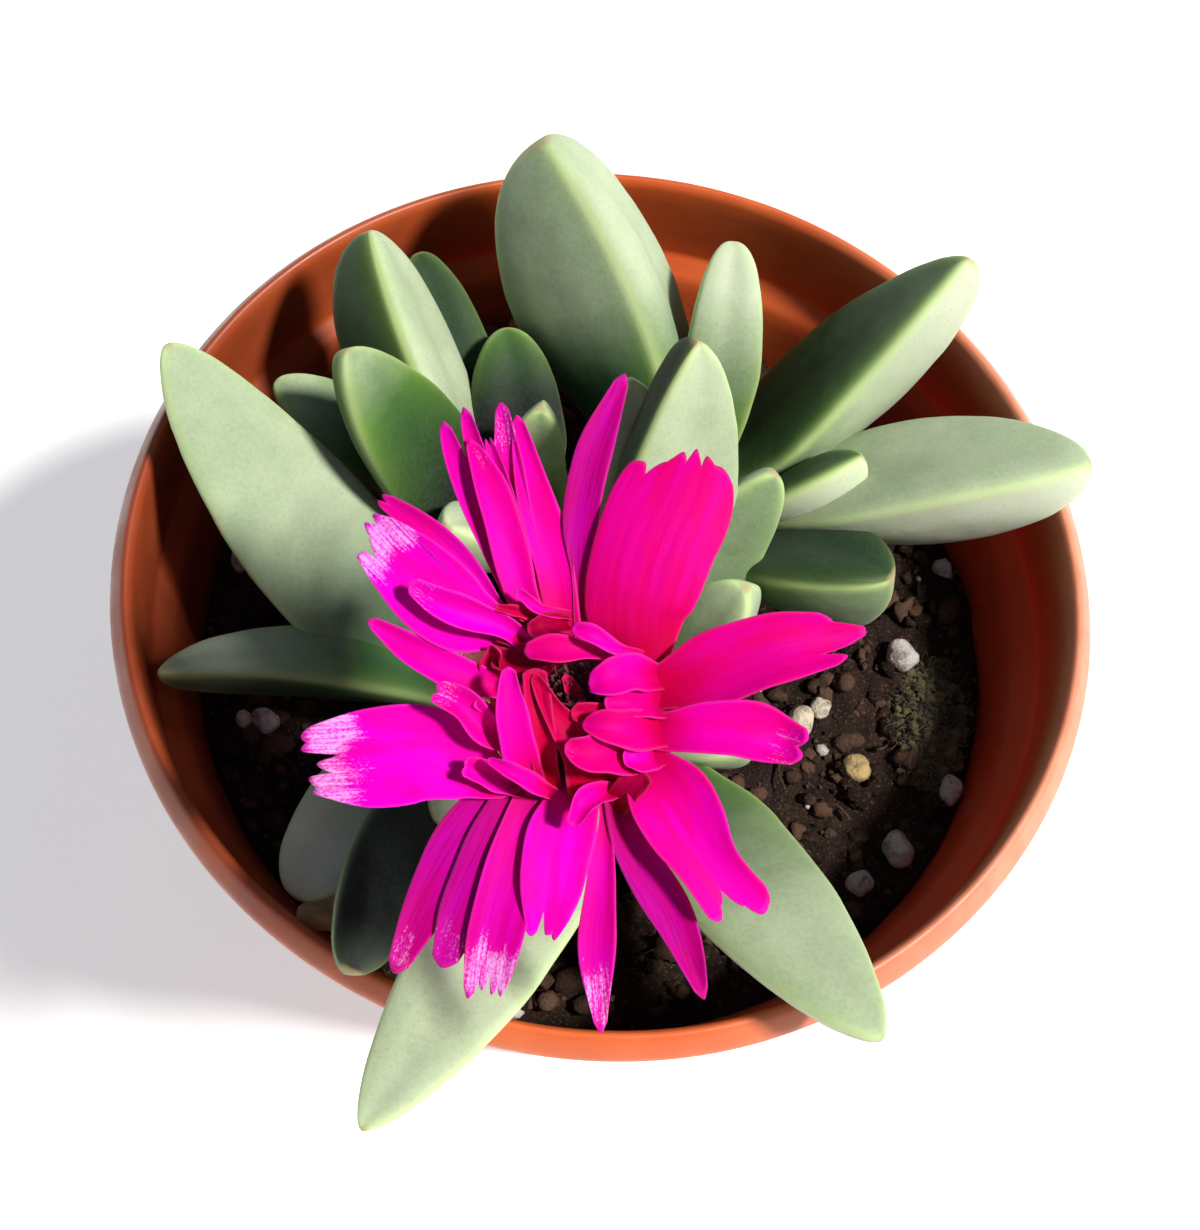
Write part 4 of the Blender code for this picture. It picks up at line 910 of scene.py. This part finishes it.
def make_moss(draw, material):
    """A mound of tufts with fine threads standing up from them."""
    middle_x, middle_y, radius = MOSS
    form = Form("soil_moss")
    tufts = []
    for _ in range(300):
        reach, angle = radius * draw.uniform() ** 0.65, draw.uniform(0, 2 * math.pi)
        x, y = middle_x + reach * math.cos(angle) * 0.75, middle_y + reach * math.sin(angle) * 1.5
        if math.hypot(x, y) < SOIL_EDGE - 0.8:
            top = float(soil_waves(x, y)) + 1.5 * (1 - (reach / radius) ** 2)
            tufts.append((x, y, top, draw.uniform(0.3, 0.8), draw.uniform()))
    add_lumps(form, tufts, 2, draw, 0.5, 0.9)
    for x, y, top, _, tone in tufts * 2:
        lean = draw.normal(0, 0.45, 2)
        end = (x + lean[0] * 2, y + lean[1] * 2, top + draw.uniform(0.7, 1.6))
        fibre(form, (x, y, top), end, 0.07, tone)
    piece(form.mesh(), material, "potting_soil")


def make_fibres(draw, material):
    form = Form("soil_fibres")
    for _ in range(90):
        angle, reach = draw.uniform(0, 2 * math.pi), (SOIL_EDGE - 4) * math.sqrt(draw.uniform())
        x, y = reach * math.cos(angle), reach * math.sin(angle)
        z = float(soil_waves(x, y)) + draw.uniform(0.4, 1.2)
        turn, length = draw.uniform(0, 2 * math.pi), draw.uniform(1.5, 5.0)
        end = (x + length * math.cos(turn), y + length * math.sin(turn), z + draw.uniform(-0.6, 0.9))
        if math.hypot(end[0], end[1]) < SOIL_EDGE - 0.6:
            fibre(form, (x, y, z), end, draw.uniform(0.08, 0.28), draw.uniform(0.5, 1.0))
    piece(form.mesh(), material, "potting_soil")


def make_soil(bed, crumb, grit, moss):
    draw = np.random.default_rng(SEED)
    make_bed(bed)
    make_crumbs(draw, crumb)
    make_grit(draw, grit)
    make_moss(draw, moss)
    make_fibres(draw, crumb)


# Leaves


def swell(t, peak, foot, point):
    """How broad a leaf is at share t of its length, as a share of its breadth at the peak."""
    rise = t / peak
    growing = foot + (1 - foot) * rise * rise * (3 - 2 * rise)
    ending = np.clip(1 - ((t - peak) / (1 - peak)) ** 2, 0, 1) ** point
    return np.where(t < peak, growing, ending)


def smooth_section(samples=3):
    """The whole section as a closed curve of points, from its half."""
    a = np.array(HALF_SECTION + [(-x, y) for x, y in reversed(HALF_SECTION[1:-1])])
    before, b, c = (np.roll(a, k, axis=0) for k in (1, -1, -2))
    made = []
    for t in np.arange(samples) / samples:
        bend = (2 * before - 5 * a + 4 * b - c) * t**2 + (3 * a - before - 3 * b + c) * t**3
        made.append(0.5 * (2 * a + (b - before) * t + bend))
    return np.stack(made, 1).reshape(-1, 2)


def leaf_line(foot, tip, lift, sway, roll):
    """Shares of a leaf's length, its middle line at each, and the directions across and up from it."""
    chord = tip - foot
    side = unit(np.array([-chord[1], chord[0], 0.0]))
    bend = (foot + tip) / 2 + (0, 0, 2 * lift) + side * 2 * sway
    t = (1 - (1 - np.linspace(0, 1, LEAF_ROWS)) ** 1.7)[:-1, None]
    along = heading(foot, bend, tip, t)
    level = unit(side - along * (along @ side)[:, None])
    turn = math.radians(roll)
    across = level * math.cos(turn) + np.cross(along, level) * math.sin(turn)
    return t, bent(foot, bend, tip, t), across, np.cross(along, across)


def leaf_darkness_and_shade(dark, t, high):
    """A leaf's darkness, partly painted shade, from its row of the darkness table, at each share of its
    length and height in its section.
    """
    upper, flank, low, reach = dark
    darkness = flank + (upper - flank) * np.clip((high - 0.08) / 0.14, 0, 1)
    return darkness + (low - darkness) * np.clip(1 - t / reach, 0, 1) ** 0.8 * (low > darkness)


def leaf_skin(form, foot, tip, shape, tone, seed, dark=(0, 0, 0, 1), rough=1.0):
    """A leaf's skin. dark is its row of the darkness table, in part painted shade, and rough is how uneven it
    is.
    """
    width, depth, lift, sway, roll, point = shape
    t, line, across, up = leaf_line(np.array(foot, float), np.array(tip, float), lift, sway, roll)
    half = (width / 2 * swell(t, WIDEST, FOOT_SHARE, point))[..., None]
    deep = (depth * swell(t, DEEPEST, 0.5, 0.5))[..., None]
    section = smooth_section()
    a, b = section[:, :1], section[:, 1:]
    out = across[:, None] * half * a + up[:, None] * deep * b
    rings = line[:, None] + out
    bumps = 0.22 * uneven(rings, 9.0, seed) + 0.07 * uneven(rings, 2.6, seed + 1)
    fade = np.clip(np.linalg.norm(out, axis=-1) / 1.5, 0, 1)
    rings = rings + unit(out) * (rough * bumps * fade)[..., None]
    # Painted light: pale lines on both margins and the keel, and light that comes through near the margins
    margin = np.hypot((np.abs(a) - 1) * half, (b - 0.15) * deep)[..., 0]
    keel = np.hypot(a * half, (b + 0.74) * deep)[..., 0]
    edge = np.exp(-((margin / 0.75) ** 2)) + 0.6 * np.exp(-((keel / 0.9) ** 2))
    darkness = leaf_darkness_and_shade(dark, t, b[:, 0])
    glow = np.exp(-margin / 1.8) * np.clip(darkness, 0, 1) * np.clip(1.9 - darkness, 0, 1)
    place = np.stack([np.clip(edge, 0, 1), np.broadcast_to(t, edge.shape), np.full(edge.shape, tone)], -1)
    form.tube(rings, place=place, look=np.stack([darkness, glow, np.zeros(glow.shape)], -1))


def make_leaves(material):
    draw = np.random.default_rng(SEED + 1)
    for i, (name, knob, offset, tip, *shape) in enumerate(LEAVES):
        form = Form("fine_leaf_" + name)
        x, y = KNOBS[knob]
        foot = (x + offset[0], y + offset[1], KNOB_HEIGHT)
        leaf_skin(form, foot, tip, shape, draw.uniform(), 3 + 2 * i, DARKNESS_AND_SHADE[name])
        piece(form.mesh(), material, "leaf", "leaf_" + name)


def make_dry_leaf(material):
    form = Form("fine_dry_leaf")
    foot, tip, *shape = DRY_LEAF
    leaf_skin(form, foot, tip, shape, 0.5, 71, rough=3.0)
    piece(form.mesh(), material, "dry_leaf", "dry_leaf")


def crown_mesh():
    """A ball at the hub and at each knob, with tapered rods between them and down to the root's foot."""
    bm = bmesh.new()

    def ball(centre, radius, squash=1.0):
        made = bmesh.ops.create_icosphere(bm, subdivisions=3, radius=radius)["verts"]
        bmesh.ops.scale(bm, vec=(1, 1, squash), verts=made)
        bmesh.ops.translate(bm, vec=centre, verts=made)

    def rod(start, end, radius1, radius2):
        along = end - start
        made = bmesh.ops.create_cone(
            bm, cap_ends=True, segments=24, radius1=radius1, radius2=radius2, depth=along.length
        )["verts"]
        turn = along.to_track_quat("Z", "Y").to_matrix().to_4x4()
        bmesh.ops.transform(bm, matrix=Matrix.Translation((start + end) / 2) @ turn, verts=made)

    hub = Vector(HUB)
    ball(hub, 5.2, 0.8)
    rod(Vector((HUB[0], HUB[1], ROOT_FOOT)), hub, ROOT_RADIUS - 1.2, ROOT_RADIUS)
    for x, y in KNOBS.values():
        centre = Vector((x, y, KNOB_HEIGHT))
        rod(hub, centre, 3.0, 2.6)
        ball(centre, 4.0)
    bmesh.ops.scale(bm, vec=(MM, MM, MM), verts=bm.verts)
    mesh = bpy.data.meshes.new("crown_wood")
    bm.to_mesh(mesh)
    bm.free()
    return mesh


def roughen(mesh):
    """Moves each point of the bark in or out along its normal."""
    points = np.zeros(len(mesh.vertices) * 3, np.float32)
    mesh.vertices.foreach_get("co", points)
    normals = np.zeros(len(points), np.float32)
    mesh.vertices.foreach_get("normal", normals)
    points, normals = points.reshape(-1, 3) / MM, normals.reshape(-1, 3)
    bumps = -0.25 + 0.22 * uneven(points * (1, 1, 2.2), 1.6, 40) + 0.10 * uneven(points, 0.7, 41)
    mesh.vertices.foreach_set("co", ((points + normals * bumps[:, None]) * MM).astype(np.float32).ravel())
    mesh.shade_smooth()


def make_crown(material):
    """The woody crown, with its balls and rods melted together."""
    obj = piece(crown_mesh(), material, "woody_stem", "crown")
    melt = obj.modifiers.new("melt", "REMESH")
    melt.mode, melt.voxel_size = "VOXEL", BARK_GRAIN * MM
    roughen(settle(obj, material))


# Flower


def in_flower(points):
    """Points of the flower's own plane, (x, y, rise), in the plant's frame."""
    return FLOWER_CENTRE + np.asarray(points, float) @ FLOWER_AXES


def through(stations, share):
    """The smooth curve through the stations, at each share of its length."""
    reach = np.linalg.norm(np.diff(stations[:, :2], axis=0), axis=1).cumsum()
    knots = np.concatenate([[0], reach / reach[-1]])
    slope = np.gradient(stations, knots, axis=0)
    i = np.clip(np.searchsorted(knots, share, side="right") - 1, 0, len(knots) - 2)
    gap = (knots[i + 1] - knots[i])[..., None]
    u = (share - knots[i])[..., None] / gap
    bend = gap * u * (1 - u) * (slope[i] * (1 - u) - slope[i + 1] * u)
    return stations[i] * (1 + 2 * u) * (1 - u) ** 2 + stations[i + 1] * u * u * (3 - 2 * u) + bend


def end_cuts(cuts, columns):
    """How far each column of a petal stops short, rounded at each tooth and sharp at each notch."""
    u = np.linspace(0, len(cuts) - 1, columns)
    i = np.clip(u.astype(int), 0, len(cuts) - 2)
    part = u - i
    a, b = np.array(cuts)[i], np.array(cuts)[i + 1]
    deep, shallow = np.maximum(a, b), np.minimum(a, b)
    from_notch = np.where(a > b, part, 1 - part)
    return deep + (shallow - deep) * np.sin(from_notch * math.pi / 2) ** 0.85


def add_sheet(form, middle, offset, place, look, hue):
    """A thin closed sheet: a face an offset away on each side of its middle, and strips between the two."""
    rows, columns = middle.shape[:2]
    n = rows * columns
    grid = np.arange(n).reshape(rows, columns)
    face = grid_faces(rows, columns)
    quads = [face, face[:, ::-1] + n]
    for line, flip in ((grid[:, 0], True), (grid[:, -1], False), (grid[0], False), (grid[-1], True)):
        strip = np.stack([line[:-1], line[1:], line[1:] + n, line[:-1] + n], -1)
        quads.append(strip[:, ::-1] if flip else strip)
    points = np.stack([middle + offset, middle - offset])
    place, look = (np.tile(marks.reshape(-1, 3), (2, 1)) for marks in (place, look))
    form.add(in_flower(points), np.concatenate(quads), place=place, look=look, hue=hue)


def petal_line(spine, low, middle, end):
    """A petal's length, and its stations as (x, y, rise, width)."""
    spine = np.array(spine, float)
    steps = np.linalg.norm(np.diff(spine[:, :2], axis=0), axis=1)
    share = np.concatenate([[0], steps.cumsum() / steps.sum()])
    rise = low + (4 * middle - end - 3 * low) * share + (2 * end + 2 * low - 4 * middle) * share**2
    return steps.sum(), np.column_stack([spine[:, :2], rise, spine[:, 2]])


def add_petal(form, draw, low, tone, middle, end, cuts, trough, shine, curl, spine, blade=BLADE):
    """One petal as a thin closed blade."""
    length, stations = petal_line(spine, low, middle, end)
    columns = max(13, 4 * (len(cuts) - 1) + 1)
    u = np.linspace(-1, 1, columns)
    v = np.linspace(0, 1, PETAL_ROWS)[:, None]
    t = v * (1 - end_cuts(cuts, columns))
    line = through(stations, t)
    half = np.maximum(line[..., 3], 0.3) / 2
    along = unit(through(stations, t + 0.02)[..., :3] - through(stations, t - 0.02)[..., :3])
    side = unit(np.cross(along, (0, 0, 1.0)))
    normal = np.cross(side, along)
    # Wavy edges, a trough, fine ribs, a slow wave towards the end, and the end's curl
    seed = draw.uniform(0, 50)
    inside = np.sin(math.pi * np.clip(t, 0, 1))
    uneven_edge = 0.10 * np.sin(6.0 * t + seed + 2 * u) + 0.05 * np.sin(17 * t + 2 * seed + 3 * u)
    across = u * (half + uneven_edge * inside)
    ribs = max(2, round(stations[:, 3].max() / 1.3))
    raised = trough * (u * u - 0.3) * np.minimum(1, 2.2 * inside + 0.25)
    raised += 0.012 * np.cos(math.pi * ribs * u + seed) * inside
    raised += 0.22 * np.sin(5.5 * t + 1.7 * seed + 1.2 * u) * t * (0.4 + 0.6 * np.abs(u))
    raised += curl * np.clip((t - 0.80) / 0.2, 0, 1) ** 2
    surface = line[..., :3] + side * across[..., None] + normal * raised[..., None]
    thick = blade / 2 * (0.35 + 0.65 * np.sqrt(np.clip(1 - u**4, 0, 1))) * (1 - 0.45 * v**3)
    rim = np.exp(-(((1 - np.abs(u)) * half / 0.13) ** 2))
    rim = np.maximum(rim, np.exp(-(((1 - v) * length / 0.18) ** 2)))
    place = np.stack([across, t * length, np.full(t.shape, draw.uniform(0, 40))], -1)
    look = np.stack([t, rim, np.full(t.shape, shine)], -1)
    add_sheet(form, surface, normal * thick[..., None], place, look, TONES[tone])


def make_bloom(material):
    draw = np.random.default_rng(SEED + 2)
    form = Form("petals")
    profile = [(0.01, 0.2), (4, 0.2), (CUP_RADIUS - 0.3, 0.2), (CUP_RADIUS + 0.2, 0.7)]
    profile += [(CUP_RADIUS - 1.2, DISC_TOP), (4, DISC_TOP), (0.01, DISC_TOP)]
    form.tube(in_flower(turned(profile, 48)), look=(0.1, 0, 0), hue=TONES["dark"])
    for *shape, line in OUTER_PETALS:
        x, y, width = line[0]
        reach = PETAL_RING / math.hypot(x, y)
        add_petal(form, draw, 1.0, *shape, [(x * reach, y * reach, 0.85 * width), *line])
    for petal in INNER_PETALS:
        add_petal(form, draw, 1.4, *petal)
    piece(form.mesh(), material, "petal", "bloom")


def add_cup(form):
    """The cup under the flower, with five soft ribs."""
    profile = [
        (0.01, -CUP_DEPTH),
        (STALK_RADIUS + 0.5, -CUP_DEPTH + 0.2),
        (3.6, -CUP_DEPTH + 1.2),
        (4.7, -CUP_DEPTH + 2.7),
        (5.9, -3.9),
        (CUP_RADIUS - 0.8, -2.5),
        (CUP_RADIUS - 0.1, -1.2),
        (CUP_RADIUS, -0.7),
        (CUP_RADIUS - 0.6, -CLEAR + 0.2),
        (4, -CLEAR + 0.2),
        (0.01, -CLEAR + 0.2),
    ]
    rings = turned(subdivided(profile, 0.8), 72)
    turn = np.arctan2(rings[..., 1], rings[..., 0])
    rings[..., :2] *= (1 + 0.025 * np.cos(5 * turn))[..., None]
    form.tube(in_flower(rings), look=(0.3, 0, 0))


def make_calyx(material):
    draw = np.random.default_rng(SEED + 3)
    form = Form("cup_and_sepals")
    add_cup(form)
    for angle, reach, width in SEPALS:
        turn = math.radians(angle)
        middle = (CUP_RADIUS + reach) / 2 - 1
        shape = ((CUP_RADIUS - 2.4, 0.5), (middle, 0.95), (reach - 0.8, 0.7), (reach, 0.3))
        spine = [(r * math.cos(turn), r * math.sin(turn), width * share) for r, share in shape]
        add_petal(form, draw, -1.8, "pink", -1.4, -0.6, (0.05, 0.0, 0.05), 0.4, 0, 0.4, spine, 0.9)
    piece(form.mesh(), material, "stalk_green", "calyx")


def make_stalk(material):
    top = in_flower((0, 0, -CUP_DEPTH - CLEAR + 0.3))
    bend = in_flower((0, 0, -CUP_DEPTH - STALK_STRAIGHT))
    t = np.linspace(0, 1, 60)[:, None]
    along = heading(STALK_FOOT, bend, top, t)[:, None]
    side = unit(np.cross(along, (1.0, 0, 0)))
    t = t[..., None]
    turn = np.arange(STALK_SIDES)[:, None] * 2 * math.pi / STALK_SIDES
    radius = STALK_RADIUS * (1.15 - 0.25 * np.sin(math.pi * t))
    radius = radius * (1 + 0.03 * np.cos(3 * turn) + 0.02 * np.cos(5 * turn + 9 * t))
    line = bent(STALK_FOOT, bend, top, t[..., 0])
    form = Form("fine_stalk")
    form.tube(pipe(line, side, np.cross(along, side), radius, STALK_SIDES), look=(0.2, 0, 0))
    piece(form.mesh(), material, "stalk_green", "flower_stalk")


def add_stamen(form, draw, x, y, low, points, faces):
    """A thin bent thread that stands at (x, y), with a small head made of the points and faces."""
    foot = np.array([x, y, low + 0.9])
    height = draw.uniform(0.9, STAMEN_HEIGHT)
    top = foot + (x * 0.15 + draw.normal(0, 0.45), y * 0.15 + draw.normal(0, 0.45), height)
    bend = (foot + top) / 2 + (*draw.normal(0, 0.3, 2), 0.2)
    t = np.linspace(0, 1, 6)[:, None]
    thick = 0.12 - 0.04 * t[..., None]
    x_axis, y_axis = np.eye(3)[:2]
    rings = pipe(bent(foot, bend, top, t), x_axis, y_axis, thick, 6)
    form.tube(in_flower(rings), look=(height / STAMEN_HEIGHT * 0.8, 0, 0))
    head = points * (0.19, 0.13, 0.30) + top
    form.add(in_flower(head), triangles=faces, look=(draw.uniform(0.3, 1.0), 0, 0))


def make_stamens(material):
    """A low mound with stamens all over it, each turned on from the last as seeds in a flower's head are."""
    draw = np.random.default_rng(SEED + 4)
    low = DISC_TOP + CLEAR
    form = Form("filaments")
    mound = [(0.01, 0), (3.6, 0), (3.8, 0.6), (3.2, 1.0), (2.2, 1.3), (0.01, 1.5)]
    profile = subdivided([(r, low + z) for r, z in mound], 0.5)
    form.tube(in_flower(turned(profile, 40)), look=(0.1, 0, 0))
    head = ball_points(1)
    for i in range(STAMENS):
        angle, reach = i * GOLDEN_TURN, 3.3 * math.sqrt((i + 0.5) / STAMENS)
        add_stamen(form, draw, reach * math.cos(angle), reach * math.sin(angle), low, *head)
    piece(form.mesh(), material, "stamen", "stamens")


# Stage


def make_floor():
    s = Shader("pale_floor")
    s.set(Base_Color=(0.86, 0.86, 0.85), Roughness=0.9, Emission_Color=(1, 1, 1), Emission_Strength=0.48)
    floor = bpy.data.objects.new("floor", bpy.data.meshes.new("floor"))
    corners = [(x * FLOOR_REACH, y * FLOOR_REACH, 0) for x, y in ((-1, -1), (1, -1), (1, 1), (-1, 1))]
    floor.data.from_pydata(corners, [], [(0, 1, 2, 3)])
    floor.data.materials.append(s.material)
    bpy.context.scene.collection.objects.link(floor)


def make_sky():
    world = bpy.data.worlds.new("pale_world")
    world.use_nodes = True
    background = world.node_tree.nodes["Background"]
    background.inputs["Color"].default_value = SKY_COLOUR
    background.inputs["Strength"].default_value = SKY_STRENGTH
    bpy.context.scene.world = world


def make_sun():
    sun = bpy.data.lights.new("key", "SUN")
    sun.energy, sun.angle, sun.color = SUN_STRENGTH, SUN_BLUR, SUN_COLOUR
    lamp = bpy.data.objects.new("key", sun)
    level = math.cos(SUN_HEIGHT)
    towards = Vector((math.cos(SUN_TURN) * level, math.sin(SUN_TURN) * level, math.sin(SUN_HEIGHT)))
    lamp.rotation_euler = towards.to_track_quat("Z", "Y").to_euler()
    bpy.context.scene.collection.objects.link(lamp)


def make_camera():
    ahead = Vector((0, math.cos(ELEVATION), -math.sin(ELEVATION)))
    level, above = Vector((1, 0, 0)), Vector((0, math.sin(ELEVATION), math.cos(ELEVATION)))
    right = level * math.cos(ROLL) + above * math.sin(ROLL)
    up = above * math.cos(ROLL) - level * math.sin(ROLL)
    data = bpy.data.cameras.new("camera")
    camera = bpy.data.objects.new("camera", data)
    turn = Matrix((right, up, -ahead)).transposed().to_4x4()
    turn.translation = AIM - ahead * DISTANCE
    camera.matrix_world = turn
    data.sensor_width, data.sensor_fit = 36.0, "AUTO"
    data.lens = FOCAL * data.sensor_width / PICTURE_HEIGHT
    data.clip_start, data.clip_end = 0.005, 20.0
    bpy.context.scene.collection.objects.link(camera)
    bpy.context.scene.camera = camera
    bpy.context.scene.view_settings.view_transform = "Standard"


def main():
    make_camera()
    make_floor()
    make_sky()
    make_sun()
    make_pot(plastic_material())
    earth = soil_material("potting_soil", (0.010, 0.006, 0.005), (0.060, 0.031, 0.023))
    crumb = soil_material("soil_crumb", (0.012, 0.007, 0.005), (0.100, 0.054, 0.036))
    make_soil(earth, crumb, grit_material(), moss_material())
    make_crown(bark_material())
    make_leaves(leaf_material())
    make_dry_leaf(straw_material())
    green = stalk_material()
    make_stalk(green)
    make_calyx(green)
    make_bloom(petal_material())
    make_stamens(stamen_material())


main()
